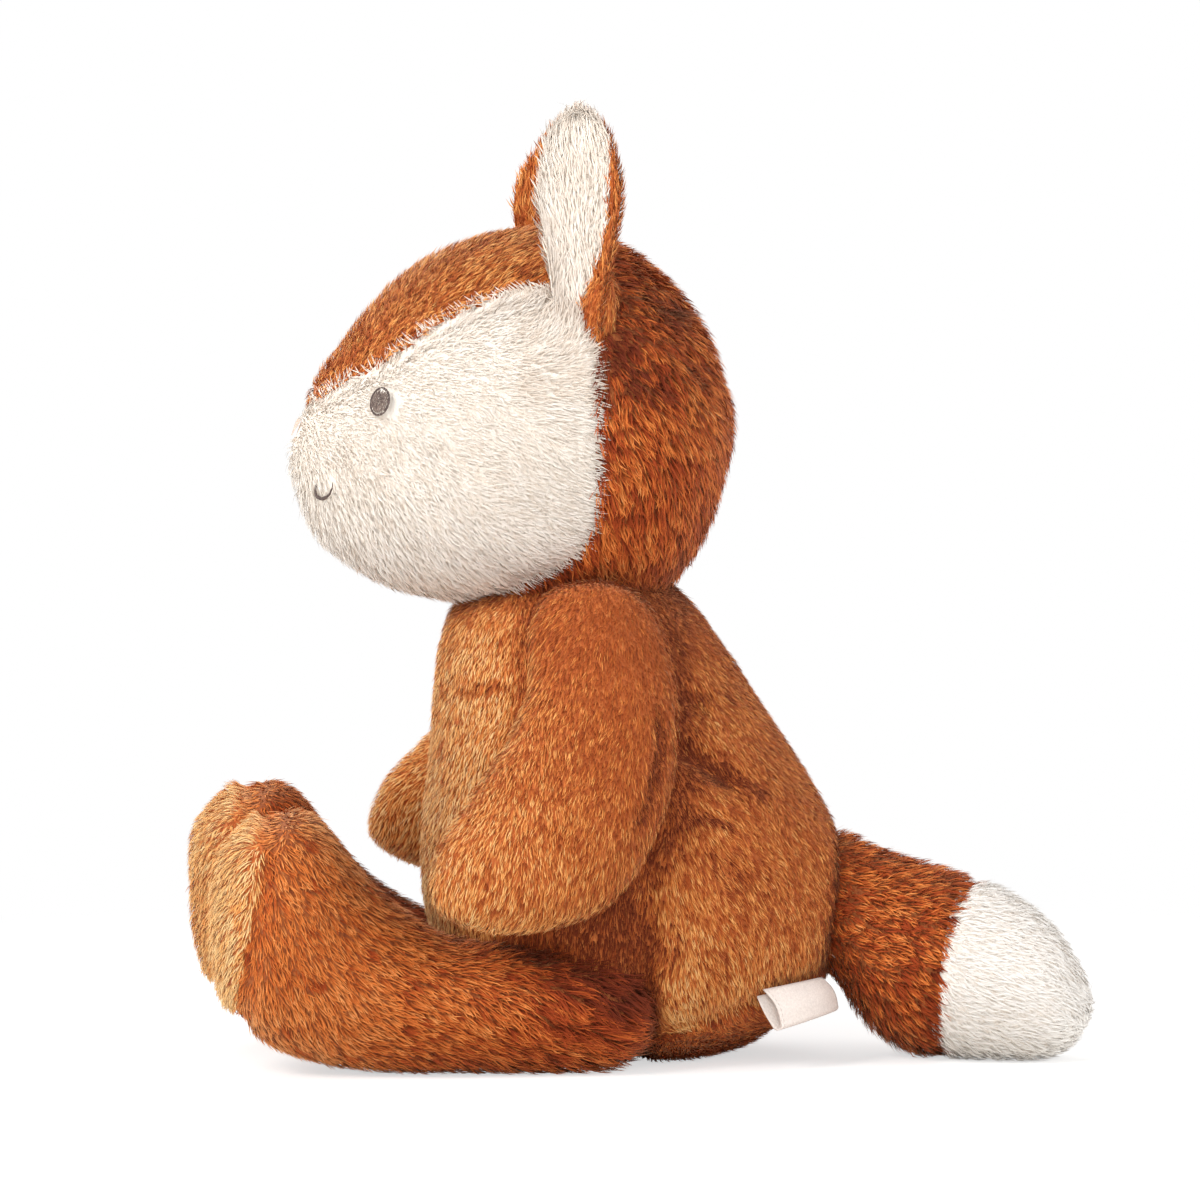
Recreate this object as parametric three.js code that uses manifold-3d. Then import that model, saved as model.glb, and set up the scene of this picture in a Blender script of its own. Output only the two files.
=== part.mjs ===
// A seated plush fox: sewn cover panels over stuffed cores, with floppy seams at the neck,
// the shoulders, the hips, the tail and the ears. Millimetres, +Z up, the face looks along -Y
// and the fox's left side is +X. The origin is the middle of the seat, on the surface below it.
import * as THREE from 'three';
import { ConvexGeometry } from 'three/addons/geometries/ConvexGeometry.js';
import { mergeVertices } from 'three/addons/utils/BufferGeometryUtils.js';
import Module from 'manifold-3d';

const wasm = await Module();
wasm.setup();

// Fabric and running gaps
const plushThickness = 3.5; // backing cloth and flattened pile
const seamGap = 0.3;        // between panels that are sewn edge to edge
const coreGap = 0.3;        // between a cover and what fills it
const jointGap = 0.45;      // between pieces on two sides of a floppy seam
const cutReach = 400;       // how far a cutting block runs past the toy
const weld = 1e-4;          // corners closer than this are one corner

// Head
const neckHeight = 114.5;   // the neck seam above the floor
const neckForward = 16;     // the neck's turning axis, in front of the seat's middle
const headSink = 2.5;       // how deep the round head is pressed onto the neck seam
const headLength = 111;     // snout to back
const headHeight = 96;
const headWidth = 100;
const headOverhang = 72;    // the snout, in front of the neck's axis
const cheekSeamBack = 1;    // the seam from ear to ear, behind the neck's axis

// Face
const eyeSpread = 51;       // middle to middle
const eyeLevel = 50.5;      // above the neck seam
const eyeWidth = 6.6;
const eyeTall = 7.4;
const eyeThickness = 1.2;
const eyeSunk = 1.5;        // the embroidery lies in the pile
const noseWidth = 7;
const noseTall = 5;
const noseLevel = 43;
const mouthWidth = 33;
const mouthTall = 6.4;
const mouthLevel = 32.8;     // its middle, above the neck seam
const threadRope = 1;       // thickness of the stitched lines

// Ears
const earLength = 62;
const earWidth = 27;
const earThickness = 13;
const earSpread = 76;       // middle to middle at the base
const earBase = 62.5;       // bottom of the ear above the neck seam
const earForward = 2.5;     // ear's middle in front of the neck's axis
const earTurnDeg = 30;      // how far the ear's opening turns to the front
const earRim = 3;           // width of the rust rim round the lining
const earFloor = 2.6;       // thickness of the rust cloth behind the lining
const liningThickness = 2.2;
const earHingeUp = 13;      // the bending line above the bottom of the ear
const earFlopDeg = 15;
const neckTurnDeg = 25;

// Body
const bodyDepth = 106.5;
const bodyWidth = 97;
const bodyForward = 55;     // the belly, in front of the origin
const bodyDome = 11;        // how far the body's top would rise past the neck seam
const seatSeamHeight = 8.2; // the seat panel's seam, above the origin
const seatSeamTiltDeg = 20; // it climbs towards the tail
const sideSeamBack = -2;    // the side seams, behind the origin
const pouchHeight = 32;     // top of the pellet pouch above the floor

// Arms
const armLength = 88.7;
const armBreadth = 62;
const armThickness = 26;
const armTiltDeg = 18;      // lean of the arm down the pear-shaped side
const shoulderSpread = 74;  // middle to middle of the arms at the shoulder
const shoulderHeight = 110;
const shoulderForward = 13;
const farArmSwingDeg = 8;   // the right arm lies this much further forward
const armLowDeg = -30;
const armHighDeg = 45;

// Legs
const legReach = 111.5;     // hip to the sole
const footHeight = 65.5;
const footWidth = 50;
const legSpread = 62;       // middle to middle
const farLegForward = 2.6;  // the far foot shows in front of the near one
const hipForward = 15.5;
const hipHeight = 17.3;
const hipRadius = 17.5;
const solePanelDepth = 6.5; // bulge of the sole in front of its seam
const hipHighDeg = 25;

// Tail
const tailLength = 87;
const tailHeight = 56.5;
const tailWidth = 47;
const tailRootSunk = 5.5;   // the root ball's middle, inside the body's back
const tailRootHeight = 37;
const tailRootRadius = 18.5;
const tailSwingDeg = 20;    // it lies to the fox's left
const tailTipLength = 33;   // the pale end
const tailTipLean = 8;      // how far the tip's seam leans over its height
const tailLowDeg = -6;      // the wag towards the ribbon, and away from it
const tailHighDeg = 28;

// Ribbon loop in the seat seam, left of the tail
const ribbonFromDeg = 26;   // where its edges lie round the body, from straight back
const ribbonToDeg = 56;
const ribbonLength = 10.5;
const ribbonThickness = 0.6;
const ribbonGap = 1.6;      // between the loop's two layers
const ribbonLeanDeg = 18;   // it hangs outward
const ribbonSkew = 2;       // its fold is shifted towards the tail

// What touches the floor is pressed flat this deep
const floorPress = 0.5;

const rust = 0xb4652f;
const deepRust = 0xa1512a;
const cream = 0xfaf3e8;
const polyfill = 0xf3f1ec;
const thread = 0x6b5f59;
const satin = 0xf4ebe6;

const rad = THREE.MathUtils.degToRad;

// Outlines, as shares. Each row is a station from one end of the form to the other: the upper
// outline's place along the length and up the height, the lower outline's, and the half width.
const headShares = [
  [0, 0.399, 0, 0.399, 0],
  [0.027, 0.514, 0.027, 0.277, 0.14],
  [0.068, 0.621, 0.068, 0.186, 0.26],
  [0.14, 0.729, 0.14, 0.113, 0.43],
  [0.253, 0.872, 0.253, 0.05, 0.65],
  [0.388, 0.963, 0.388, 0.016, 0.85],
  [0.546, 1, 0.546, 0, 0.99],
  [0.704, 0.979, 0.704, 0.008, 1],
  [0.839, 0.885, 0.839, 0.045, 0.88],
  [0.93, 0.76, 0.93, 0.167, 0.64],
  [0.979, 0.619, 0.979, 0.337, 0.34],
  [1, 0.483, 1, 0.483, 0],
];
const bodyShares = [
  [0.352, 1, 0.352, 1, 0],
  [0.188, 0.964, 0.545, 0.964, 0.45],
  [0.085, 0.908, 0.638, 0.908, 0.6],
  [0.047, 0.829, 0.712, 0.829, 0.7],
  [0.028, 0.709, 0.806, 0.709, 0.81],
  [0.014, 0.59, 0.901, 0.59, 0.91],
  [0.002, 0.47, 0.977, 0.47, 0.97],
  [0, 0.35, 1, 0.35, 1],
  [0.019, 0.231, 0.986, 0.231, 0.98],
  [0.066, 0.135, 0.934, 0.135, 0.89],
  [0.164, 0.056, 0.834, 0.056, 0.7],
  [0.28, 0, 0.7, 0, 0.48],
  [0.49, -0.03, 0.49, -0.03, 0],
];
const armShares = [
  [0.7, 1, 0.7, 1, 0],
  [0.505, 0.979, 0.86, 0.958, 0.5],
  [0.415, 0.874, 0.95, 0.844, 0.78],
  [0.395, 0.7, 0.998, 0.672, 0.93],
  [0.308, 0.556, 0.982, 0.469, 1],
  [0.139, 0.389, 0.911, 0.297, 1],
  [0.021, 0.239, 0.792, 0.152, 0.93],
  [0.021, 0.094, 0.623, 0.065, 0.68],
  [0.29, 0.02, 0.29, 0.02, 0],
];
const legShares = [
  [1, 0.27, 1, 0.27, 0],
  [0.955, 0.458, 0.955, 0.092, 0.49],
  [0.897, 0.524, 0.897, 0.023, 0.66],
  [0.8, 0.524, 0.8, 0, 0.71],
  [0.69, 0.505, 0.69, 0, 0.73],
  [0.535, 0.54, 0.49, 0, 0.78],
  [0.437, 0.635, 0.293, 0.03, 0.86],
  [0.37, 0.736, 0.121, 0.105, 0.94],
  [0.315, 0.847, 0.032, 0.285, 1],
  [0.271, 0.939, 0.002, 0.548, 0.97],
  [0.216, 0.998, 0.017, 0.829, 0.72],
  [0.121, 0.99, 0.121, 0.99, 0],
];
const tailShares = [
  [0, 0.664, 0, 0.664, 0],
  [0.063, 0.883, 0.063, 0.444, 0.52],
  [0.143, 0.973, 0.143, 0.354, 0.74],
  [0.27, 1, 0.247, 0.327, 0.8],
  [0.381, 0.943, 0.351, 0.129, 0.92],
  [0.517, 0.876, 0.458, 0.032, 1],
  [0.667, 0.805, 0.608, 0, 1],
  [0.819, 0.69, 0.759, 0, 0.88],
  [0.93, 0.504, 0.9, 0.035, 0.6],
  [1, 0.239, 1, 0.239, 0],
];
const earShares = [
  [0.5, 0, 0.5, 0, 0],
  [0.31, 0.05, 0.69, 0.05, 0.5],
  [0.2, 0.22, 0.8, 0.22, 0.85],
  [0.09, 0.43, 0.89, 0.43, 1],
  [0, 0.64, 0.97, 0.64, 1],
  [0.07, 0.81, 0.89, 0.81, 0.85],
  [0.27, 0.945, 0.69, 0.945, 0.5],
  [0.47, 1, 0.47, 1, 0],
];
const shoulderShares = [0.7, 0.87]; // the shoulder's place across the arm and up it
const mouthShares = [       // from the middle out: across the half width, and down the height
  [0, 0], [0.24, 0.07], [0.48, 0.28], [0.6, 0.5], [0.645, 0.65], [0.68, 0.92],
  [0.775, 1], [0.9, 0.84], [0.965, 0.6], [1, 0.33],
];
const blazeEdgeShares = [
  [0, 0.525], [0.068, 0.538], [0.131, 0.58], [0.207, 0.62], [0.26, 0.675],
  [0.325, 0.74], [0.39, 0.79], [0.455, 0.825], [0.545, 0.848], [0.7, 0.82],
];
const cheekCornerShares = [
  [0, 0.26], [-0.03, 0.175], [-0.09, 0.12], [-0.16, 0.085], [-0.27, 0.0],
];

// A form's place: the low corner of its side view and its size along Y, Z and X.
const forms = {
  head: {
    rows: headShares, from: [-neckForward - headOverhang, neckHeight - headSink],
    size: [headLength, headHeight, headWidth], rings: 1.7, around: 30,
  },
  body: {
    rows: bodyShares, from: [-bodyForward, 0],
    size: [bodyDepth, neckHeight + bodyDome, bodyWidth], rings: 1.5, around: 26,
  },
  arm: {
    rows: armShares, from: [-shoulderShares[0] * armBreadth, -shoulderShares[1] * armLength],
    size: [armBreadth, armLength, armThickness], rings: 1.5, around: 16,
  },
  leg: {
    rows: legShares, from: [hipRadius - hipForward - legReach, -floorPress],
    size: [legReach, footHeight, footWidth], rings: 1.4, around: 18,
  },
  tail: {
    rows: tailShares, from: [-tailRootRadius, -floorPress],
    size: [tailLength, tailHeight, tailWidth], rings: 1.5, around: 18,
  },
  ear: {
    rows: earShares, from: [-earWidth / 2, 0],
    size: [earWidth, earLength, earThickness], rings: 1.4, around: 14,
  },
};

// The closed curve through a form's outline: (half width, along, up) from end to end and back.
function outline(form) {
  const [length, height, width] = form.size;
  const place = (y, z, w) => new THREE.Vector3(
    w * width / 2, form.from[0] + y * length, form.from[1] + z * height);
  const last = form.rows.length - 1;
  const upper = form.rows.map(([y, z, , , w]) => place(y, z, w));
  const lower = form.rows.slice(1, last).map(([, , y, z, w]) => place(y, z, -w)).reverse();
  return new THREE.CatmullRomCurve3([...upper, ...lower], true, 'catmullrom', 0.5);
}

// A point on a form's skin: station from 0 to 1, angle from the upper outline towards +X.
function skinPoint(form, curve, station, angle) {
  const up = curve.getPoint(station / 2);
  const low = curve.getPoint(1 - station / 2);
  const middle = up.clone().add(low).divideScalar(2).setX(0);
  const rise = up.clone().sub(low).divideScalar(2).setX(0);
  return middle.addScaledVector(rise, Math.cos(angle))
    .add(new THREE.Vector3(up.x * Math.sin(angle), 0, 0));
}

// Six times the volume inside a closed mesh, below zero where its faces point inwards.
function signedVolume(points, faces) {
  let sum = 0;
  for (let i = 0; i < faces.length; i += 3) {
    const [a, b, c] = [points[faces[i]], points[faces[i + 1]], points[faces[i + 2]]];
    sum += a.dot(b.clone().cross(c));
  }
  return sum;
}

// A form's closed mesh, moved out (or in, when negative) along its own normals.
function formGeometry(form, offset = 0, coarse = 1) {
  const curve = outline(form);
  const stations = (form.rows.length - 1) * form.rings / coarse;
  const count = Math.round(stations);
  const around = Math.round(form.around / coarse);
  const points = [skinPoint(form, curve, 0, 0)];
  for (let i = 1; i < count; i++) {
    for (let j = 0; j < around; j++) {
      points.push(skinPoint(form, curve, i / count, j / around * 2 * Math.PI));
    }
  }
  points.push(skinPoint(form, curve, 1, 0));
  const faces = [];
  const at = (i, j) => 1 + (i - 1) * around + (j % around);
  for (let j = 0; j < around; j++) {
    faces.push(0, at(1, j), at(1, j + 1));
    faces.push(points.length - 1, at(count - 1, j + 1), at(count - 1, j));
    for (let i = 1; i < count - 1; i++) {
      faces.push(at(i, j), at(i + 1, j), at(i, j + 1));
      faces.push(at(i, j + 1), at(i + 1, j), at(i + 1, j + 1));
    }
  }
  if (signedVolume(points, faces) < 0) faces.reverse();
  const geometry = new THREE.BufferGeometry().setFromPoints(points);
  geometry.setIndex(faces);
  geometry.computeVertexNormals();
  const { position, normal } = geometry.attributes;
  for (let i = 0; i < position.count; i++) {
    position.setXYZ(i, position.getX(i) + offset * normal.getX(i),
      position.getY(i) + offset * normal.getY(i), position.getZ(i) + offset * normal.getZ(i));
  }
  return geometry;
}

// A closed geometry as a solid that can be cut and joined.
function solid(geometry) {
  const bare = geometry.clone();
  bare.deleteAttribute('normal');
  bare.deleteAttribute('uv');
  const merged = mergeVertices(bare, weld);
  return new wasm.Manifold(new wasm.Mesh({
    numProp: 3,
    vertProperties: new Float32Array(merged.attributes.position.array),
    triVerts: new Uint32Array(merged.index.array),
  }));
}

// A solid back as a geometry, flat shaded.
function geometryOf(shape) {
  const mesh = shape.getMesh();
  const geometry = new THREE.BufferGeometry();
  geometry.setAttribute('position', new THREE.BufferAttribute(new Float32Array(mesh.vertProperties), 3));
  geometry.setIndex(new THREE.BufferAttribute(new Uint32Array(mesh.triVerts), 1));
  return geometry;
}

// The corner points of a form's mesh.
function formPoints(form, offset, coarse, matrix = new THREE.Matrix4()) {
  const { position } = formGeometry(form, offset, coarse).attributes;
  const points = [];
  for (let i = 0; i < position.count; i++) {
    points.push(new THREE.Vector3().fromBufferAttribute(position, i).applyMatrix4(matrix));
  }
  return points;
}

const moved = (shape, matrix) => shape.transform([...matrix.elements]);
const formSolid = (form, offset, coarse) => solid(formGeometry(form, offset, coarse));

// A block that reaches far past the toy on every side but the named ones.
function block({ x = [-cutReach, cutReach], y = [-cutReach, cutReach], z = [-cutReach, cutReach] }) {
  const box = new THREE.BoxGeometry(x[1] - x[0], y[1] - y[0], z[1] - z[0]);
  box.translate((x[0] + x[1]) / 2, (y[0] + y[1]) / 2, (z[0] + z[1]) / 2);
  return solid(box);
}

// A prism right across the toy whose side view is the outline through the points (y, z).
function prism(points) {
  const shape = new THREE.Shape(points.map(([y, z]) => new THREE.Vector2(y, z)));
  const body = new THREE.ExtrudeGeometry(shape, { depth: 2 * cutReach, bevelEnabled: false });
  body.translate(0, 0, -cutReach);
  body.applyMatrix4(new THREE.Matrix4().set(0, 0, 1, 0, 1, 0, 0, 0, 0, 1, 0, 0, 0, 0, 0, 1));
  return solid(body);
}

// The room that a form's points need while they turn about a line, as one convex solid.
function sweptRoom(points, pivot, axis, fromDeg, toDeg, steps) {
  const all = [];
  for (let i = 0; i <= steps; i++) {
    const turn = turnAbout(pivot, axis, rad(fromDeg + (toDeg - fromDeg) * i / steps));
    all.push(...points.map((point) => point.clone().applyMatrix4(turn)));
  }
  return solid(new ConvexGeometry(all));
}

function turnAbout(pivot, axis, angle) {
  return new THREE.Matrix4().makeTranslation(pivot)
    .multiply(new THREE.Matrix4().makeRotationAxis(axis, angle))
    .multiply(new THREE.Matrix4().makeTranslation(pivot.clone().negate()));
}

const X = new THREE.Vector3(1, 0, 0);
const Y = new THREE.Vector3(0, 1, 0);
const Z = new THREE.Vector3(0, 0, 1);
const underFloor = block({ z: [-cutReach, 0] });

const group = new THREE.Group();

function add(name, shape, color, roughness, parent = group) {
  const material = new THREE.MeshStandardMaterial({ color, roughness, metalness: 0 });
  const mesh = new THREE.Mesh(geometryOf(shape), material);
  mesh.name = name;
  parent.add(mesh);
  return mesh;
}

// A limb's own frame on one side of the toy.
function sideFrame(matrix) {
  const frame = new THREE.Group();
  frame.applyMatrix4(matrix);
  group.add(frame);
  return frame;
}

// Legs: hip ball, thigh along the floor and an upturned foot with a sole panel.
function legForward(side) {
  return side > 0 ? 0 : farLegForward;
}

function legFrame(side) {
  return new THREE.Matrix4().makeTranslation(side * legSpread / 2, -legForward(side), 0);
}

function makeLeg(side, name) {
  const frame = sideFrame(legFrame(side));
  const outer = formSolid(forms.leg, 0).subtract(underFloor);
  const inner = formSolid(forms.leg, -plushThickness, 2);
  const core = formSolid(forms.leg, -plushThickness - coreGap, 2);
  const front = forms.leg.from[0] + solePanelDepth;
  const outside = side > 0 ? { x: [seamGap / 2, cutReach] } : { x: [-cutReach, -seamGap / 2] };
  const inside = side > 0 ? { x: [-cutReach, -seamGap / 2] } : { x: [seamGap / 2, cutReach] };
  const openRoot = block({ ...inside, y: [-hipForward, cutReach], z: [hipHeight, cutReach] });
  const cover = outer.subtract(inner).subtract(openRoot);
  const sole = cover.intersect(block({ y: [-cutReach, front - seamGap / 2] }));
  const rest = cover.intersect(block({ y: [front + seamGap / 2, cutReach] }));
  add(`${name}_leg_outer_panel`, rest.intersect(block(outside)), rust, 0.95, frame);
  add(`${name}_leg_inner_panel`, rest.intersect(block(inside)), rust, 0.95, frame);
  add(`${name}_sole_panel`, sole, rust, 0.95, frame);
  add(`${name}_leg_stuffing`, core, polyfill, 1, frame);
}

// Tail: a rust sleeve from a ball root, and a pale tip.
const tailRootBack = bodyDepth - bodyForward - tailRootSunk;
const tailFrame = new THREE.Matrix4().makeTranslation(0, tailRootBack, 0)
  .multiply(new THREE.Matrix4().makeRotationZ(-rad(tailSwingDeg)));

function makeTail() {
  const frame = sideFrame(tailFrame);
  const outer = formSolid(forms.tail, 0).subtract(underFloor);
  const inner = formSolid(forms.tail, -plushThickness, 2);
  const core = formSolid(forms.tail, -plushThickness - coreGap, 2);
  const openRoot = block({ y: [-cutReach, -tailRootRadius / 2] });
  const cover = outer.subtract(inner).subtract(openRoot);
  const seam = forms.tail.from[0] + tailLength - tailTipLength;
  const behind = (shift) => prism([
    [seam - tailTipLean / 2 + shift, -floorPress], [seam + tailTipLean / 2 + shift, tailHeight],
    [cutReach, tailHeight + cutReach], [cutReach, -cutReach], [seam - tailTipLean / 2 + shift, -cutReach],
  ]);
  add('tail_tip_panel', cover.intersect(behind(seamGap / 2)), cream, 0.95, frame);
  add('tail_sleeve_panel', cover.subtract(behind(-seamGap / 2)), deepRust, 0.95, frame);
  add('tail_stuffing', core, polyfill, 1, frame);
}

// Body: belly panel, two back panels and a seat panel over stuffing and a pellet pouch.
function limbSockets() {
  const near = (points, reach) => points.filter((point) => reach(point));
  const tail = near(formPoints(forms.tail, jointGap, 1), ({ y }) => y < 2 * tailRootRadius);
  const tailRoot = new THREE.Vector3(0, tailRootBack, tailRootHeight);
  let sockets = sweptRoom(tail.map((point) => point.applyMatrix4(tailFrame)), tailRoot, Z,
    tailLowDeg, tailHighDeg, 2);
  const leg = near(formPoints(forms.leg, jointGap, 1), ({ y }) => y > -bodyForward - hipRadius);
  for (const side of [1, -1]) {
    const hip = new THREE.Vector3(side * legSpread / 2, -hipForward - legForward(side), hipHeight);
    const placed = leg.map((point) => point.clone().applyMatrix4(legFrame(side)));
    sockets = sockets.add(sweptRoom(placed, hip, Z, 0, side * hipHighDeg, 2));
  }
  return sockets;
}

// The seat panel's seam climbs towards the tail: its height at a place along the toy.
function seatSeam(y) {
  return seatSeamHeight + y * Math.tan(rad(seatSeamTiltDeg));
}

function makeBody() {
  const sockets = limbSockets();
  const overNeck = block({ z: [neckHeight - jointGap, cutReach] });
  const trim = (shape) => shape.subtract(underFloor).subtract(overNeck).subtract(sockets);
  const inner = formSolid(forms.body, -plushThickness, 2).intersect(block({ z: [plushThickness, cutReach] }));
  const cover = trim(formSolid(forms.body, 0).subtract(inner));
  const half = seamGap / 2;
  const underSeam = (shift) => prism([
    [-cutReach, seatSeam(-cutReach) + shift], [-cutReach, -2 * cutReach],
    [cutReach, -2 * cutReach], [cutReach, seatSeam(cutReach) + shift],
  ]);
  const wall = cover.subtract(underSeam(half));
  const back = wall.intersect(block({ y: [sideSeamBack + half, cutReach] }));
  add('belly_panel', wall.intersect(block({ y: [-cutReach, sideSeamBack - half] })), rust, 0.95);
  add('left_back_panel', back.intersect(block({ x: [half, cutReach] })), rust, 0.95);
  add('right_back_panel', back.intersect(block({ x: [-cutReach, -half] })), rust, 0.95);
  add('seat_panel', cover.intersect(underSeam(-half)), rust, 0.95);
  const core = trim(formSolid(forms.body, -plushThickness - coreGap, 2));
  const floor = block({ z: [plushThickness + coreGap, cutReach] });
  const split = pouchHeight;
  add('body_stuffing', core.intersect(block({ z: [split + half, cutReach] })), polyfill, 1);
  add('pellet_pouch', core.intersect(floor).intersect(block({ z: [-cutReach, split - half] })), polyfill, 0.9);
}

// The body's skin where the seat seam crosses it, at an angle from straight back towards +X.
function seatSeamPoint(curve, turn) {
  let [above, below] = [0.5, 1];
  for (let i = 0; i < 30; i++) {
    const middle = (above + below) / 2;
    const { y, z } = skinPoint(forms.body, curve, middle, Math.PI - turn);
    if (z > seatSeam(y)) above = middle; else below = middle;
  }
  return skinPoint(forms.body, curve, above, Math.PI - turn);
}

// A folded ribbon whose two ends are caught in the seat seam.
function makeRibbon() {
  const [outer, inner] = [ribbonGap / 2 + ribbonThickness, ribbonGap / 2];
  const section = new THREE.Shape();
  section.moveTo(outer, 0);
  section.lineTo(outer, outer - ribbonLength);
  section.absarc(0, outer - ribbonLength, outer, 0, -Math.PI, true);
  section.lineTo(-outer, 0);
  section.lineTo(-inner, 0);
  section.absarc(0, outer - ribbonLength, inner, -Math.PI, 0, false);
  section.lineTo(inner, 0);
  section.closePath();
  const strip = new THREE.ExtrudeGeometry(section, {
    depth: ribbonLength, steps: 6, curveSegments: 4, bevelEnabled: false,
  });
  const curve = outline(forms.body);
  const { position } = strip.attributes;
  for (let i = 0; i < position.count; i++) {
    const share = position.getZ(i) / ribbonLength;
    const turn = rad(ribbonFromDeg + share * (ribbonToDeg - ribbonFromDeg));
    const away = new THREE.Vector3(Math.sin(turn), Math.cos(turn), 0);
    const along = new THREE.Vector3(-Math.cos(turn), Math.sin(turn), 0);
    const [out, up] = [position.getX(i), position.getY(i)];
    const lean = rad(ribbonLeanDeg);
    const place = seatSeamPoint(curve, turn)
      .addScaledVector(away, ribbonGap + out * Math.cos(lean) - up * Math.sin(lean))
      .addScaledVector(Z, up * Math.cos(lean) + out * Math.sin(lean))
      .addScaledVector(along, -up / ribbonLength * ribbonSkew);
    position.setXYZ(i, place.x, place.y, place.z);
  }
  add('ribbon_loop', solid(strip), satin, 0.35);
}

// Head: forehead blaze, two cheeks and two back panels over one core.
const headLow = neckHeight - headSink;
const earSeam = cheekSeamBack - neckForward;

function blazeEdge(shift) {
  const y0 = forms.head.from[0];
  return blazeEdgeShares.map(([y, z]) => [y0 + y * headLength, headLow + z * headHeight + shift]);
}

function makeHead() {
  const half = seamGap / 2;
  const underNeck = block({ z: [-cutReach, neckHeight] });
  const trim = (shape) => shape.subtract(underNeck);
  const inner = formSolid(forms.head, -plushThickness, 2);
  const cover = trim(formSolid(forms.head, 0).subtract(inner));
  const core = trim(formSolid(forms.head, -plushThickness - coreGap, 2));
  const above = (shift) => prism([[-cutReach, blazeEdge(shift)[0][1]], ...blazeEdge(shift),
    [cutReach, blazeEdge(shift).at(-1)[1]], [cutReach, cutReach], [-cutReach, cutReach]]);
  const corner = (shift) => cheekCornerShares.map(([y, z]) =>
    [earSeam + y * headLength + shift, headLow + z * headHeight]);
  const rear = (shift) => prism([[earSeam + shift, cutReach], ...corner(shift),
    [corner(shift).at(-1)[0], -cutReach], [cutReach, -cutReach], [cutReach, cutReach]]);
  const front = cover.subtract(rear(-half));
  const back = cover.intersect(rear(half));
  const cheeks = front.subtract(above(-half)).subtract(eyePockets());
  add('forehead_panel', front.intersect(above(half)), rust, 0.95);
  add('left_cheek_panel', cheeks.intersect(block({ x: [half, cutReach] })), cream, 0.95);
  add('right_cheek_panel', cheeks.intersect(block({ x: [-cutReach, -half] })), cream, 0.95);
  add('left_head_back_panel', back.intersect(block({ x: [half, cutReach] })), deepRust, 0.95);
  add('right_head_back_panel', back.intersect(block({ x: [-cutReach, -half] })), deepRust, 0.95);
  add('head_stuffing', core, polyfill, 1);
}

// The face's surface at a place seen from the front: the point and the way it faces.
function facePoint(x, z) {
  const curve = outline(forms.head);
  const outside = (station) => {
    const up = curve.getPoint(station / 2);
    const low = curve.getPoint(1 - station / 2);
    const across = x / Math.max(up.x, weld);
    const rise = (z - (up.z + low.z) / 2) / Math.max((up.z - low.z) / 2, weld);
    return across * across + rise * rise > 1;
  };
  let [near, far] = [0, 0.5];
  for (let i = 0; i < 40; i++) {
    const middle = (near + far) / 2;
    if (outside(middle)) near = middle; else far = middle;
  }
  return new THREE.Vector3(x, curve.getPoint(far / 2).y, z);
}

function faceNormal(x, z) {
  const step = eyeWidth / 4;
  const across = facePoint(x + step, z).sub(facePoint(x - step, z));
  const rise = facePoint(x, z + step).sub(facePoint(x, z - step));
  return across.cross(rise).normalize();
}

// A frame on the face whose Z looks out of the surface.
function faceFrame(x, z, sunk) {
  const normal = faceNormal(x, z);
  const place = facePoint(x, z).addScaledVector(normal, -sunk);
  const right = new THREE.Vector3().crossVectors(Z, normal).normalize();
  const up = new THREE.Vector3().crossVectors(normal, right);
  return new THREE.Matrix4().makeBasis(right, up, normal).setPosition(place);
}

function eyeDisc(extra, depth) {
  const disc = new THREE.CylinderGeometry(eyeWidth / 2 + extra, eyeWidth / 2 + extra, depth, 20);
  disc.rotateX(Math.PI / 2);
  disc.scale(1, (eyeTall / 2 + extra) / (eyeWidth / 2 + extra), 1);
  disc.translate(0, 0, depth / 2);
  return solid(disc);
}

const eyeSides = [1, -1];

function eyePockets() {
  const depth = eyeSunk + eyeThickness + 2 * coreGap;
  const pockets = eyeSides.map((side) => moved(eyeDisc(coreGap, depth + eyeTall),
    faceFrame(side * eyeSpread / 2, neckHeight + eyeLevel, eyeSunk + coreGap)));
  return pockets[0].add(pockets[1]);
}

// A stitched line over the face, as a thin rope just proud of the pile.
function stitchedLine(places) {
  const lift = threadRope / 2 + seamGap;
  const points = places.map(([x, z]) => facePoint(x, z).addScaledVector(faceNormal(x, z), lift));
  const path = new THREE.CatmullRomCurve3(points);
  const section = new THREE.Shape();
  section.absarc(0, 0, threadRope / 2, 0, 2 * Math.PI, false);
  return solid(new THREE.ExtrudeGeometry(section, {
    steps: 2 * places.length, curveSegments: 3, extrudePath: path, bevelEnabled: false,
  }));
}

function makeFace() {
  for (const side of eyeSides) {
    const name = side > 0 ? 'left_eye_embroidery' : 'right_eye_embroidery';
    const place = faceFrame(side * eyeSpread / 2, neckHeight + eyeLevel, eyeSunk);
    add(name, moved(eyeDisc(0, eyeThickness), place), thread, 0.6);
  }
  const half = mouthShares.map(([x, z]) => [x * mouthWidth / 2, neckHeight + mouthLevel - z * mouthTall]);
  const farHalf = half.slice(1).reverse().map(([x, z]) => [-x, z]);
  add('mouth_embroidery', stitchedLine([...farHalf, ...half]), thread, 0.6);
  const nose = new THREE.Shape([
    new THREE.Vector2(-noseWidth / 2, noseTall / 2), new THREE.Vector2(0, -noseTall / 2),
    new THREE.Vector2(noseWidth / 2, noseTall / 2),
  ]);
  const pad = new THREE.ExtrudeGeometry(nose, { depth: noseWidth, bevelEnabled: false });
  pad.translate(0, 0, -noseWidth / 2);
  const skin = formSolid(forms.head, seamGap + threadRope).subtract(formSolid(forms.head, seamGap));
  const place = faceFrame(0, neckHeight + noseLevel, 0);
  add('nose_embroidery', moved(solid(pad), place).intersect(skin), thread, 0.7);
}

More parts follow.
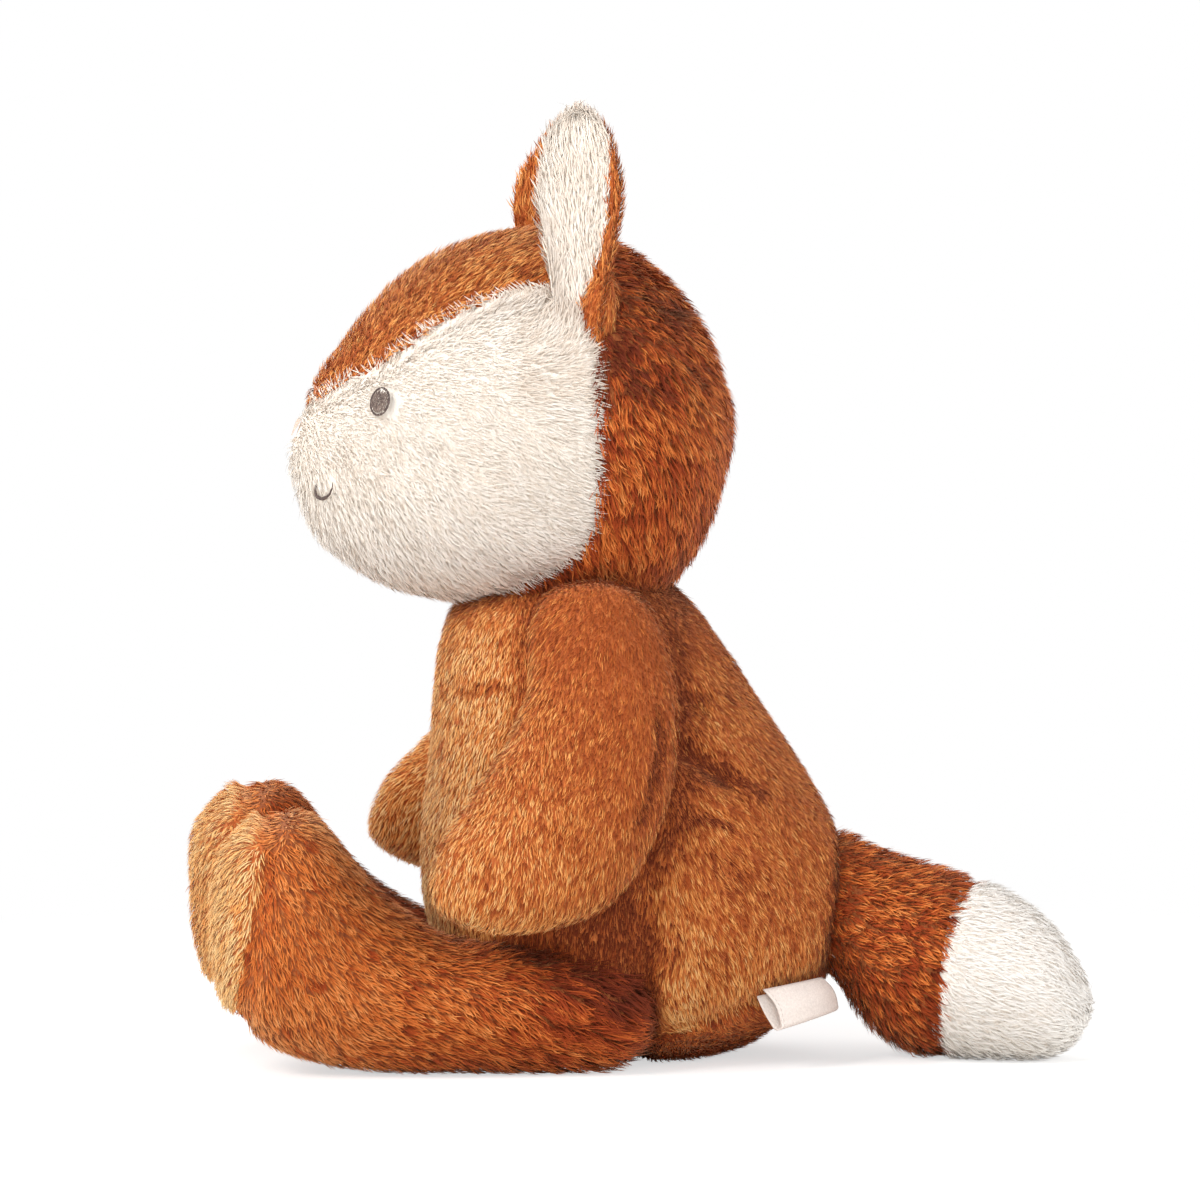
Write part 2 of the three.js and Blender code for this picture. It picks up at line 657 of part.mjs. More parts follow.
// Ears: a rust cup with a pale lining, bent at their base line.
function earFrame(side) {
  const turn = side * rad(earTurnDeg);
  const place = new THREE.Vector3(side * earSpread / 2, -neckForward - earForward, neckHeight + earBase);
  const frame = new THREE.Matrix4().makeRotationZ(-turn);
  if (side < 0) frame.multiply(new THREE.Matrix4().makeScale(-1, 1, 1));
  return frame.setPosition(place);
}

function makeEar(side, name) {
  const place = earFrame(side);
  const hinge = new THREE.Vector3(0, 0, earHingeUp).applyMatrix4(place);
  const axis = Y.clone().transformDirection(place);
  const points = formPoints(forms.head, jointGap, 1);
  const head = sweptRoom(points, hinge, axis, -earFlopDeg, 0, 1)
    .add(sweptRoom(points, hinge, axis, 0, earFlopDeg, 1));
  const cupForm = (inset, thick) => ({
    ...forms.ear,
    from: [-earWidth / 2 + inset, inset],
    size: [earWidth - 2 * inset, earLength - 2 * inset, thick],
  });
  const shift = (shape, x) => shape.translate([x, 0, 0]);
  const whole = formSolid(forms.ear, 0);
  const deep = 2 * (earThickness - earFloor);
  const recess = (inset, x) => shift(formSolid(cupForm(inset, deep), 0), earThickness / 2 + x);
  const outer = whole.subtract(recess(earRim, 0));
  const lining = recess(earRim + seamGap, seamGap).intersect(whole)
    .subtract(recess(earRim, seamGap + liningThickness));
  const inPlace = (shape) => moved(shape, place).subtract(head);
  add(`${name}_ear_back_panel`, inPlace(outer), rust, 0.95);
  add(`${name}_ear_lining`, inPlace(lining), cream, 0.95);
}

// Arms: two flat mitten panels over a core, lying down the body's side.
function armFrame(side) {
  const place = new THREE.Vector3(side * shoulderSpread / 2, -shoulderForward, shoulderHeight);
  const frame = new THREE.Matrix4().makeTranslation(place);
  if (side < 0) frame.multiply(new THREE.Matrix4().makeScale(-1, 1, 1));
  frame.multiply(new THREE.Matrix4().makeRotationY(-rad(armTiltDeg)));
  if (side < 0) frame.multiply(new THREE.Matrix4().makeRotationX(-rad(farArmSwingDeg)));
  return frame;
}

function makeArm(side, name) {
  const place = armFrame(side);
  const back = place.clone().invert();
  const pivot = new THREE.Vector3();
  const clear = (offset) => sweptRoom(formPoints(forms.body, offset, 1, back), pivot, X,
    armLowDeg, armHighDeg, 5);
  const neck = new THREE.Vector3(0, -neckForward, neckHeight);
  const jaw = [-neckTurnDeg, 0, neckTurnDeg].flatMap((turn) => formPoints(forms.head, jointGap, 1,
    back.clone().multiply(turnAbout(neck, Z, rad(turn)))));
  const underHead = sweptRoom(jaw, pivot, X, 0, armHighDeg, 3);
  const outer = formSolid(forms.arm, 0).subtract(clear(jointGap)).subtract(underHead);
  const inner = formSolid(forms.arm, -plushThickness, 2).subtract(clear(jointGap + plushThickness));
  const core = formSolid(forms.arm, -plushThickness - coreGap, 2)
    .subtract(clear(jointGap + plushThickness + coreGap));
  const opening = new THREE.CylinderGeometry(plushThickness, plushThickness, armThickness, 12);
  opening.rotateZ(Math.PI / 2);
  opening.translate(-armThickness / 2, 0, 0);
  const cover = outer.subtract(inner).subtract(solid(opening));
  const inPlace = (shape) => moved(shape, place);
  const half = seamGap / 2;
  add(`${name}_arm_outer_panel`, inPlace(cover.intersect(block({ x: [half, cutReach] }))), rust, 0.95);
  add(`${name}_arm_inner_panel`, inPlace(cover.intersect(block({ x: [-cutReach, -half] }))), rust, 0.95);
  add(`${name}_arm_stuffing`, inPlace(core), polyfill, 1);
}

for (const [side, name] of [[1, 'left'], [-1, 'right']]) {
  makeLeg(side, name);
  makeArm(side, name);
  makeEar(side, name);
}
makeTail();
makeBody();
makeRibbon();
makeHead();
makeFace();

export default group;
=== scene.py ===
"""Looks of the seated plush fox: stuffed skins, a pile of single strands, embroidery and ribbon.

Sizes are in millimetres and angles in degrees until a mesh is made. The fox faces -Y, its left
side is +X, and it sits on z = 0.
"""
import math
from collections import namedtuple
from itertools import product

import bpy
import numpy as np
from mathutils import Matrix, Vector
from mathutils.bvhtree import BVHTree


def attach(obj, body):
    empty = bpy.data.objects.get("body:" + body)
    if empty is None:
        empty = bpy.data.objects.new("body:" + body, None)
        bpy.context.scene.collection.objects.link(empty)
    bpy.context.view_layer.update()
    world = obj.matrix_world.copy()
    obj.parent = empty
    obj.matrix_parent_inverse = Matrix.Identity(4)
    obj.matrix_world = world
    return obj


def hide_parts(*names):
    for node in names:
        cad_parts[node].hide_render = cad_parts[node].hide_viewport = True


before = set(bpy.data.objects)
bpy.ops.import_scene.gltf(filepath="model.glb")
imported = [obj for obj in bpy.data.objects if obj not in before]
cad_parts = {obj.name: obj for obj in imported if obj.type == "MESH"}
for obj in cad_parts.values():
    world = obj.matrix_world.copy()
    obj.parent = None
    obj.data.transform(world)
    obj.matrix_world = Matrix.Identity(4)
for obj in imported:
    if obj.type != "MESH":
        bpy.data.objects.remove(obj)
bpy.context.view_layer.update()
GRID_SHARE, STRAND_SHARE = ((1.0, 1.0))
MM = 0.001
SIDES = (("left", 1), ("right", -1))

# ---------------------------------------------------------------- sizes, as in the solids
NECK_Z, NECK_FORWARD = 114.5, 16.0
HEAD_L, HEAD_H, HEAD_W = 111.0, 96.0, 100.0
HEAD_Y, HEAD_Z = -NECK_FORWARD - 72.0, NECK_Z - 2.5
CHEEK_SEAM_Y = 1.0 - NECK_FORWARD
EYE_X, EYE_Z = 25.5, NECK_Z + 50.5
MOUTH_W, MOUTH_T, MOUTH_Z, NOSE_Z = 31.0, 6.4, NECK_Z + 32.8, NECK_Z + 43.0
EAR_L, EAR_W, EAR_T, EAR_SHRINK, EAR_TIP_BENT = 62.0, 27.0, 13.0, 0.955, 8.5
EAR_X, EAR_Y, EAR_Z, EAR_TURN = 38.0, -NECK_FORWARD - 2.5, NECK_Z + 62.5, 30.0
BODY_D, BODY_W, BODY_FORWARD, BODY_DOME = 106.5, 97.0, 55.0, 11.0
SEAT_SEAM_Z, SEAT_SEAM_TILT, SIDE_SEAM_Y = 8.2, 20.0, -2.0
ARM_L, ARM_B, ARM_T, ARM_TILT, ARM_FAR_SWING = 90.2, 62.0, 26.0, 18.0, 8.0
SHOULDER = (37.0, -13.0, 110.0)
LEG_REACH, FOOT_H, FOOT_W, LEG_X, TOE_Y, SOLE_DEPTH = 111.5, 65.5, 50.0, 31.0, -109.5, 6.5
SOLE_LEAN, SOLE_LEAN_Z, ARM_GAP = 0.16, 18, 0.4
LEG_FORWARD = {"left": 0.0, "right": 2.6}
FOOT_RAISE = {"left": 0.018, "right": 0.038}
TAIL_L, TAIL_H, TAIL_W, TAIL_ROOT_Y, TAIL_ROOT_R, TAIL_SWING = 87.0, 56.5, 47.0, 46.0, 18.5, 20.0
TAIL_TIP, TAIL_LEAN = 33.0, 8.0
RIBBON_FROM, RIBBON_TO, RIBBON_L, RIBBON_THICK, RIBBON_GAP = 31.0, 54.0, 9.4, 0.4, 1.6
RIBBON_LEAN, RIBBON_SKEW = 28.0, 2.0

# Forms seen from the side, a row for each station: where the upper edge is along and up, where
# the lower edge is along and up, and how wide the form is, all as shares of its three sizes.
HEAD_ROWS = [
    [0, 0.399, 0, 0.399, 0], [0.027, 0.514, 0.027, 0.277, 0.14], [0.068, 0.621, 0.068, 0.186, 0.26],
    [0.14, 0.729, 0.14, 0.113, 0.43], [0.253, 0.872, 0.253, 0.05, 0.65],
    [0.388, 0.963, 0.388, 0.016, 0.85], [0.546, 1, 0.546, 0, 0.99], [0.704, 0.979, 0.704, 0.008, 1],
    [0.839, 0.885, 0.839, 0.045, 0.88], [0.93, 0.76, 0.93, 0.167, 0.64],
    [0.979, 0.619, 0.979, 0.337, 0.34], [1, 0.483, 1, 0.483, 0]]
BODY_ROWS = [
    [0.352, 1, 0.352, 1, 0], [0.188, 0.964, 0.545, 0.964, 0.45], [0.085, 0.908, 0.638, 0.908, 0.6],
    [0.047, 0.829, 0.712, 0.829, 0.7], [0.028, 0.709, 0.806, 0.709, 0.81],
    [0.014, 0.59, 0.901, 0.59, 0.91], [0.002, 0.47, 0.977, 0.47, 0.97], [0, 0.35, 1, 0.35, 1],
    [0.019, 0.231, 0.986, 0.231, 0.98], [0.066, 0.135, 0.934, 0.135, 0.89],
    [0.164, 0.056, 0.834, 0.056, 0.7], [0.28, 0, 0.7, 0, 0.48], [0.49, -0.03, 0.49, -0.03, 0]]
ARM_ROWS = [
    [0.7, 1, 0.7, 1, 0], [0.505, 0.979, 0.86, 0.958, 0.5], [0.415, 0.874, 0.95, 0.844, 0.78],
    [0.395, 0.7, 0.998, 0.672, 0.93], [0.308, 0.556, 0.982, 0.469, 1],
    [0.139, 0.389, 0.911, 0.297, 1],
    [0.021, 0.239, 0.792, 0.152, 0.93], [0.021, 0.094, 0.623, 0.065, 0.68],
    [0.29, 0.02, 0.29, 0.02, 0]]
LEG_ROWS = [
    [1, 0.27, 1, 0.27, 0], [0.955, 0.458, 0.955, 0.092, 0.49], [0.897, 0.524, 0.897, 0.023, 0.66],
    [0.8, 0.524, 0.8, 0, 0.71], [0.69, 0.505, 0.69, 0, 0.73], [0.535, 0.54, 0.49, 0, 0.78],
    [0.437, 0.635, 0.293, 0.03, 0.86], [0.37, 0.736, 0.121, 0.105, 0.94],
    [0.315, 0.847, 0.032, 0.285, 1], [0.271, 0.939, 0.002, 0.548, 0.97],
    [0.216, 0.998, 0.017, 0.829, 0.72], [0.121, 0.99, 0.121, 0.99, 0]]
TAIL_ROWS = [
    [0, 0.664, 0, 0.664, 0], [0.063, 0.883, 0.063, 0.444, 0.52], [0.143, 0.973, 0.143, 0.354, 0.74],
    [0.27, 1, 0.247, 0.327, 0.8], [0.381, 0.943, 0.351, 0.129, 0.92],
    [0.517, 0.876, 0.458, 0.032, 1],
    [0.667, 0.805, 0.608, 0, 1], [0.819, 0.69, 0.759, 0, 0.88], [0.93, 0.504, 0.9, 0.035, 0.6],
    [1, 0.239, 1, 0.239, 0]]
EAR_ROWS = [
    [0.5, -0.06, 0.5, -0.06, 0], [0.2, 0.01, 0.76, 0.01, 0.5], [0.16, 0.2, 0.8, 0.2, 0.85],
    [0.09, 0.43, 0.89, 0.43, 1], [0, 0.64, 0.97, 0.64, 1], [0.05, 0.81, 0.91, 0.81, 0.85],
    [0.18, 0.93, 0.79, 0.93, 0.6], [0.33, 0.99, 0.64, 0.99, 0.3], [0.48, 1.005, 0.48, 1.005, 0]]
# Lines on the face, as shares of the head or of the mouth.
BLAZE_EDGE = [[0, 0.525], [0.068, 0.538], [0.131, 0.58], [0.207, 0.62], [0.26, 0.675],
              [0.325, 0.74], [0.39, 0.79], [0.455, 0.825], [0.545, 0.848], [0.7, 0.82]]
CHEEK_CORNER = [[0, 0.26], [-0.03, 0.175], [-0.09, 0.12], [-0.16, 0.085], [-0.27, 0.0]]
MOUTH_ROWS = [[0, 0], [0.24, 0.07], [0.48, 0.28], [0.6, 0.5], [0.645, 0.65], [0.68, 0.92],
              [0.775, 1], [0.9, 0.84], [0.965, 0.6], [1, 0.33]]


# ---------------------------------------------------------------- numbers
FAR_CELL = 1000.0  # keeps the numbers of the noise's cells above zero


def smooth(x, a, b):
    """0 at a, 1 at b and a soft step between them."""
    t = np.clip((x - a) / (b - a), 0, 1)
    return t * t * (3 - 2 * t)


def bulge(distance, width):
    return np.exp(-(distance / width) ** 2)


def hashed(i, j, k, seed):
    """A random number from 0 to 1 for each cell of space."""
    h = (i * 374761393 + j * 668265263 + k * 1440662683 + seed * 974634777) & 0xFFFFFFFF
    h = ((h ^ (h >> 13)) * 1274126177) & 0xFFFFFFFF
    h = ((h ^ (h >> 16)) * 2246822519) & 0xFFFFFFFF
    return ((h ^ (h >> 15)) & 0xFFFFFF) / 16777215.0


def noise(p, size, seed):
    """Smooth noise from -1 to 1 at points p, with features of the given size."""
    q = p / size + FAR_CELL
    i = np.floor(q).astype(np.int64)
    f = q - i
    f = f * f * (3 - 2 * f)
    out = np.zeros(len(p))
    for a, b, c in product((0, 1), repeat=3):
        w = (f[:, 0] if a else 1 - f[:, 0]) * (f[:, 1] if b else 1 - f[:, 1])
        w = w * (f[:, 2] if c else 1 - f[:, 2])
        out += w * hashed(i[:, 0] + a, i[:, 1] + b, i[:, 2] + c, seed)
    return out * 2 - 1


def noise3(p, size, seed):
    return np.stack([noise(p, size, seed + n) for n in (0, 11, 23)], 1)


def unit(v):
    return v / np.maximum(np.linalg.norm(v, axis=-1, keepdims=True), 1e-9)


def tangent(v, n):
    return unit(v - n * np.sum(v * n, -1, keepdims=True))


def clump(p, size, seed, squeeze=1.0):
    """For each point its nearest clump centre and that clump's own number from 0 to 1."""
    cell = size / np.array([1, 1, squeeze])
    q = p / cell + FAR_CELL
    base = np.floor(q).astype(np.int64)
    best = np.full(len(p), 1e9)
    centre, own = np.zeros_like(p), np.zeros(len(p))
    for offset in product((-1, 0, 1), repeat=3):
        i, j, k = (base + offset).T
        spot = np.stack([i + hashed(i, j, k, seed), j + hashed(i, j, k, seed + 1),
                         k + hashed(i, j, k, seed + 2)], 1)
        d = np.sum((spot - q) ** 2, 1)
        near = d < best
        best = np.where(near, d, best)
        centre[near] = spot[near]
        own[near] = hashed(i, j, k, seed + 3)[near]
    return (centre - FAR_CELL) * cell, own


# Seen from the side, corners and spots are (Y, Z).
def spot_distance(p, spot):
    return np.hypot(p[:, 1] - spot[0], p[:, 2] - spot[1])


def line_distance(p, line):
    y, z = p[:, 1], p[:, 2]
    best = np.full(len(p), 1e9)
    for (y0, z0), (y1, z1) in zip(line, line[1:]):
        dy, dz = y1 - y0, z1 - z0
        t = np.clip(((y - y0) * dy + (z - z0) * dz) / (dy * dy + dz * dz), 0, 1)
        best = np.minimum(best, np.hypot(y - y0 - t * dy, z - z0 - t * dz))
    return best


def inside_polygon(p, polygon):
    y, z = p[:, 1], p[:, 2]
    inside = np.zeros(len(p), bool)
    for (y0, z0), (y1, z1) in zip(polygon, polygon[1:] + polygon[:1]):
        if z0 != z1:
            inside ^= ((z0 > z) != (z1 > z)) & (y < (y1 - y0) * (z - z0) / (z1 - z0) + y0)
    return inside


# ---------------------------------------------------------------- forms
def outline(rows, start, size):
    """A closed outline through the rows: along the upper edge and back along the lower one."""
    r = np.array(rows, float)
    up, low = (np.stack([sign * r[:, 4] * size[2] / 2, start[0] + r[:, k] * size[0],
                         start[1] + r[:, k + 1] * size[1]], 1) for sign, k in ((1, 0), (-1, 2)))
    return np.vstack([up, low[1:-1][::-1]])


def on_curve(points, t):
    """Points on the smooth closed curve through the given ones, at shares t of the way round."""
    n = len(points)
    p = n * np.asarray(t, float)
    i = np.floor(p).astype(int)
    w = (p - i)[:, None]
    p0, p1, p2, p3 = (points[(i + k) % n] for k in (-1, 0, 1, 2))
    t0, t1 = (p2 - p0) / 2, (p3 - p1) / 2
    return p1 + t0 * w + (3 * (p2 - p1) - 2 * t0 - t1) * w ** 2 + (2 * (p1 - p2) + t0 + t1) * w ** 3


def moved(points, place):
    return points @ place[:3, :3].T + place[:3, 3]


def within(points, form):
    """Points of the toy's frame in the frame of one limb."""
    return moved(points, np.linalg.inv(form.place))


BIG_LUMP, SMALL_LUMP = 26, 10


class Form:
    """A limb's skin as a grid of stations by angles round it, in the toy's frame."""
    # the crease also darkens the pile over it: painted shade
    crease = None  # how far seams and folds sink at each grid point

    def __init__(self, rows, start, size, stations, around, place=np.eye(4)):
        self.curve, self.place = outline(rows, start, size), place
        # the stations are spread evenly along the outline
        fine = np.linspace(0, 1, 400)
        travel = np.r_[0, np.cumsum(sum(np.linalg.norm(np.diff(edge, axis=0), axis=1)
                                        for edge in self.edges(fine)))]
        stations, around = int(stations * GRID_SHARE), int(around * GRID_SHARE)
        up, low = self.edges(np.interp(np.linspace(0, travel[-1], stations + 1), travel, fine))
        self.v = v = np.arange(around) / around * 2 * np.pi
        mid, rise = (up + low) / 2, (up - low) / 2
        self.local = mid[:, None, :] + rise[:, None, :] * np.cos(v)[None, :, None]
        self.local[:, :, 0] = up[:, None, 0] * np.sin(v)[None, :]
        self.points = moved(self.local, place)
        self.refresh()

    def edges(self, u):
        """The upper and the lower edge at shares u of the way along the limb."""
        return on_curve(self.curve, u / 2), on_curve(self.curve, (1 - u / 2) % 1)

    def refresh(self):
        """The normals point out; flip tells that the grid's own turn would make them point in."""
        p = self.points
        n = np.cross(np.gradient(p, axis=0), np.roll(p, -1, 1) - np.roll(p, 1, 1))
        n[0], n[-1] = n[1].mean(0), n[-2].mean(0)
        n = unit(n)
        self.flip = np.sum((p - p.mean((0, 1))) * n) < 0
        self.normals = -n if self.flip else n

    def dent(self, sink_and_shade, seed, big, small):
        """Sinks the skin at seams and folds, and gives it soft lumps of two sizes."""
        shape, flat = self.points.shape[:2], self.points.reshape(-1, 3)
        lumps = big * noise(flat, BIG_LUMP, seed) + small * noise(flat, SMALL_LUMP, seed + 5)
        self.crease = sink_and_shade.reshape(shape)
        self.points = self.points + self.normals * (lumps - sink_and_shade).reshape(shape)[..., None]
        self.refresh()


class Pillow(Form):
    """A small stuffed fold: an ellipsoid between its three half axes."""

    def __init__(self, centre, axes, stations, around):
        self.v = np.arange(around) / around * 2 * np.pi
        lat = np.linspace(0, np.pi, stations + 1)[:, None, None]
        v = self.v[None, :, None]
        a, b, c = (np.array(axis, float) for axis in axes)
        self.points = centre + np.cos(lat) * a + np.sin(lat) * (np.cos(v) * b + np.sin(v) * c)
        self.refresh()


def placed(dx=0.0, dy=0.0, dz=0.0, turn=(), mirror=False):
    m = Matrix.Translation((dx, dy, dz))
    if mirror:
        m = m @ Matrix.Diagonal((-1, 1, 1, 1))
    for axis, degrees in turn:
        m = m @ Matrix.Rotation(math.radians(degrees), 4, axis)
    return np.array(m)


def make_ear(sign):
    """A cup: the form's back half, and a lining that lies close in front of it."""
    form = Form(EAR_ROWS, (-EAR_W / 2, 0), (EAR_W, EAR_L, EAR_T), 70, 64)
    grid, v = form.local, form.v[None, :]
    # the sine of the angle is above 0 on the opening's side, its cosine on the front half
    depth = np.sin(v) * np.ones_like(grid[:, :, 0])
    half = np.abs(grid[:, :, 0]).max(1, keepdims=True)
    along = grid[:, :, 2] / EAR_L
    # the rims roll towards the opening and the tip leans back a little
    x = 1.4 - half * np.abs(depth) * np.where(depth > 0, 0.24, 0.8)
    grid[:, :, 0] = x + 1.3 * np.abs(np.cos(v)) ** 3 - 2.0 * along ** 2
    grid[:, :, 2] *= EAR_SHRINK
    # the edges are set back, to leave room for the fibres that stand past them
    narrow = np.minimum(1, np.ptp(grid[:, :, 1], axis=1)[:, None] / 8)
    narrow = narrow * (1 - 0.6 * smooth(along, 0.75, 1))
    grid[:, :, 1] += (3.5 if sign > 0 else 1.8) * (np.clip(np.cos(v), 0, 1) * narrow)
    if sign < 0:
        # the far ear's tip is bent back
        grid[:, :, 1] += EAR_TIP_BENT * smooth(along, 0.52, 1.05)
        grid[:, :, 2] -= 1.5 * smooth(along, 0.7, 1.0)
    grid[:, :, 1] -= 0.8 * (np.clip(-np.cos(v), 0, 1) * narrow)
    turn = np.array(Matrix.Rotation(math.radians(-EAR_TURN * sign), 4, "Z"))
    if sign < 0:
        turn = turn @ np.diag([-1.0, 1, 1, 1])
    form.place = placed(sign * EAR_X, EAR_Y, EAR_Z) @ turn
    form.points = moved(grid, form.place)
    form.refresh()
    return form


head = Form(HEAD_ROWS, (HEAD_Y, HEAD_Z), (HEAD_L, HEAD_H, HEAD_W), 130, 180)
body = Form(BODY_ROWS, (-BODY_FORWARD, 0), (BODY_D, NECK_Z + BODY_DOME, BODY_W), 120, 180)
tail = Form(TAIL_ROWS, (-TAIL_ROOT_R, -0.5), (TAIL_L, TAIL_H, TAIL_W), 90, 100,
            placed(0, TAIL_ROOT_Y, 0, [("Z", -TAIL_SWING)]))
arms, legs, ears = {}, {}, {}
for side, sign in SIDES:
    turn = [("Y", -ARM_TILT)] + ([("X", -ARM_FAR_SWING)] if sign < 0 else [])
    arms[side] = Form(ARM_ROWS, (-0.7 * ARM_B, -0.87 * ARM_L), (ARM_B, ARM_L, ARM_T), 90, 90,
                      placed(sign * SHOULDER[0], *SHOULDER[1:], turn, sign < 0))
    legs[side] = Form(LEG_ROWS, (TOE_Y, -0.5), (LEG_REACH, FOOT_H, FOOT_W), 120, 110,
                      placed(sign * LEG_X, -LEG_FORWARD[side]))
    ears[side] = make_ear(sign)


# ---------------------------------------------------------------- seams and the panels between
def on_head(rows, y0):
    return [(y0 + y * HEAD_L, HEAD_Z + z * HEAD_H) for y, z in rows]


# the blaze's lower edge runs a little higher over the eyes than in the solids
BLAZE = [(y, z + 2.7 * math.exp(-((y + 66) / 16) ** 2)) for y, z in on_head(BLAZE_EDGE, HEAD_Y)]
CORNER = [(CHEEK_SEAM_Y, 260.0)] + on_head(CHEEK_CORNER, CHEEK_SEAM_Y)
BEHIND = CORNER + [(CORNER[-1][0], -400.0), (400.0, -400.0), (400.0, 260.0)]
ARM_SEAM = [(12, -12), (13.5, -20), (13.6, -32), (10.5, -45), (4, -57)]


def head_panel(p, v=None):
    """0 forehead, 1 left cheek, 2 right cheek, 3 left back, 4 right back."""
    above = p[:, 2] > np.interp(p[:, 1], *zip(*BLAZE))
    left = p[:, 0] > 0
    return np.where(inside_polygon(p, BEHIND), np.where(left, 3, 4),
                    np.where(above, 0, np.where(left, 1, 2)))


def seat_seam(y):
    return SEAT_SEAM_Z + y * math.tan(math.radians(SEAT_SEAM_TILT))


def body_panel(p, v=None):
    """0 belly, 1 left back, 2 right back, 3 seat."""
    front = p[:, 1] < SIDE_SEAM_Y
    return np.where(p[:, 2] < seat_seam(p[:, 1]), 3,
                    np.where(front, 0, np.where(p[:, 0] > 0, 1, 2)))


def sole_seam(side, z):
    """Where the leaning seam of a sole lies along the leg."""
    return TOE_Y + SOLE_DEPTH - LEG_FORWARD[side] + SOLE_LEAN * (z - SOLE_LEAN_Z)


def leg_panel(side, sign):
    """0 outer, 1 inner, 2 sole."""
    def panel(p, v):
        outer = (p[:, 0] - sign * LEG_X) * sign > 0
        return np.where(p[:, 1] < sole_seam(side, p[:, 2]), 2, np.where(outer, 0, 1))
    return panel


def arm_panel(side):
    """0 outer, 1 inner."""
    return lambda p, v: np.where(within(p, arms[side])[:, 0] > 0, 0, 1)


def tail_seam(p):
    """How far a point lies past the seam of the pale tip."""
    q = within(p, tail)
    seam = TAIL_L - TAIL_ROOT_R - TAIL_TIP
    return q[:, 1] - (seam - TAIL_LEAN / 2 + TAIL_LEAN * q[:, 2] / TAIL_H)


def tail_panel(p, v=None):
    """0 sleeve, 1 tip."""
    return np.where(tail_seam(p) > 0, 1, 0)


def ear_panel(p, v):
    """0 rust back, 1 pale lining, which reaches the front edge and leaves a rust rim behind."""
    height = (p[:, 2] - EAR_Z) / (EAR_SHRINK * EAR_L)
    rim = np.interp(height, [0.1, 0.15, 0.26, 0.41, 0.56, 0.66, 0.79, 0.9],
                    [0.3, 0.0, -0.36, -0.62, -0.7, -0.62, -0.78, -1.05])
    near = p[:, 0] > 0
    lining = (np.sin(v) > np.where(near & (np.cos(v) > 0), -0.2, 0)) & (np.cos(v) > rim)
    lining |= near & (height > 0.95) & (np.sin(v) > -0.7)
    return np.where(lining & (near | (np.cos(v) < 0.84)), 1, 0)


# ---------------------------------------------------------------- softness of the skins
# Soft folds over both sides: a line, its width, its depth and the far side's share of that.
HEAD_FOLDS = [
    ([(-71.6, 154.1), (-75.6, 152.0), (-79.7, 149.2), (-81.4, 145.4)], 3.0, 1.1, 1.0),
    ([(-8, 199), (-3, 195), (3, 191.5), (9, 189.7), (15, 189.5)], 1.7, 1.6, 0.6),
    ([(-14, 182), (-7, 178), (1, 172), (5, 165)], 2.4, 1.2, 0.7),
    ([(6, 180), (12, 176), (17, 170)], 2.0, 0.9, 0.3)]
BODY_FOLDS = [
    ([(-3, 88), (4, 83), (14, 77.5), (25, 70)], 2.6, 2.6, 0.5),
    ([(2, 96), (10, 93), (19, 92)], 2.4, 1.2, 0.5),
    ([(10, 60), (18, 52), (24, 42)], 4.0, 1.2, 0.8),
    ([(-38, 31), (-24, 31), (-12, 33), (2, 42)], 4.5, 1.5, 0.8),
    ([(-13, 36), (-6, 28), (-3, 18), (-2, 4)], 3.4, 1.4, 0.8)]
# Painted shadow in the pile, written as folds that sink nothing.
PAINTED_SHADOW_LINES = {
    "body": [([(-46, 30), (-24, 38), (-10, 37), (8, 24)], 6.5, 9.0, 1.0),
             ([(-10, 56), (-6, 40), (-3, 26), (-2, 2)], 3.2, 3.0, 1.0),
             ([(5, 122), (4, 108), (3, 94), (3, 76)], 5.0, 2.6, 1.0),
             ([(-6, 90), (4, 83), (14, 77.5), (30, 66)], 1.4, 2.6, 0.6),
             ([(-2, 98), (10, 93), (24, 92)], 1.4, 1.5, 0.6)],
    "head": [([(-12, 172), (-9, 180), (-2, 186), (14, 186)], 2.6, 1.6, 1.0)]}


def folds(p, lines):
    """How far soft folds sink at points p; they fade out at both ends."""
    # the same sum gives painted shadow lines their darkness
    sink_and_shade = np.zeros(len(p))
    for line, width, depth, far in lines:
        ends = smooth(spot_distance(p, line[0]), 0, 3 * width)
        ends = ends * smooth(spot_distance(p, line[-1]), 0, 3 * width)
        share = np.where(p[:, 0] > 6, 1.0, np.where(p[:, 0] < -6, far, 0))
        sink_and_shade += depth * share * ends * bulge(line_distance(p, line), width)
    return sink_and_shade


flat = head.points.reshape(-1, 3)
seam = np.minimum(line_distance(flat, BLAZE), line_distance(flat, CORNER))
mid_back = np.abs(flat[:, 0]) + 100 * (head_panel(flat) < 3)
head.dent(bulge(seam, 1.8) + 0.5 * bulge(mid_back, 1.5) + folds(flat, HEAD_FOLDS), 3, 0.7, 0.3)

flat = body.points.reshape(-1, 3)
low_side = 1 - smooth(flat[:, 2], 40, 60)
sink_and_shade = (0.5 + 1.6 * low_side) * bulge(flat[:, 1] - SIDE_SEAM_Y, 2.6) * (np.abs(flat[:, 0]) > 12)
sink_and_shade += 0.8 * bulge(flat[:, 2] - seat_seam(flat[:, 1]), 1.8)
sink_and_shade += 0.5 * bulge(flat[:, 0], 1.6) * (flat[:, 1] > 0) + folds(flat, BODY_FOLDS)
body.dent(sink_and_shade, 17, 1.0, 0.35)

for n, (side, leg) in enumerate(legs.items()):
    leg.points[..., 2] *= 1 + FOOT_RAISE[side] * smooth(-leg.points[..., 1], 62, 88)
    flat = leg.points.reshape(-1, 3)
    behind = flat[:, 1] - sole_seam(side, flat[:, 2])
    middle = np.abs(flat[:, 0]) - LEG_X
    sink_and_shade = bulge(behind - 1.2, 2.2) - 0.6 * bulge(behind + 2.6, 2.4)
    leg.dent(sink_and_shade + 0.5 * bulge(middle, 1.6) * (behind > 0), 31 + 7 * n, 1.0, 0.45)
tail.dent(1.1 * bulge(tail_seam(tail.points.reshape(-1, 3)), 1.8), 83, 1.1, 0.5)

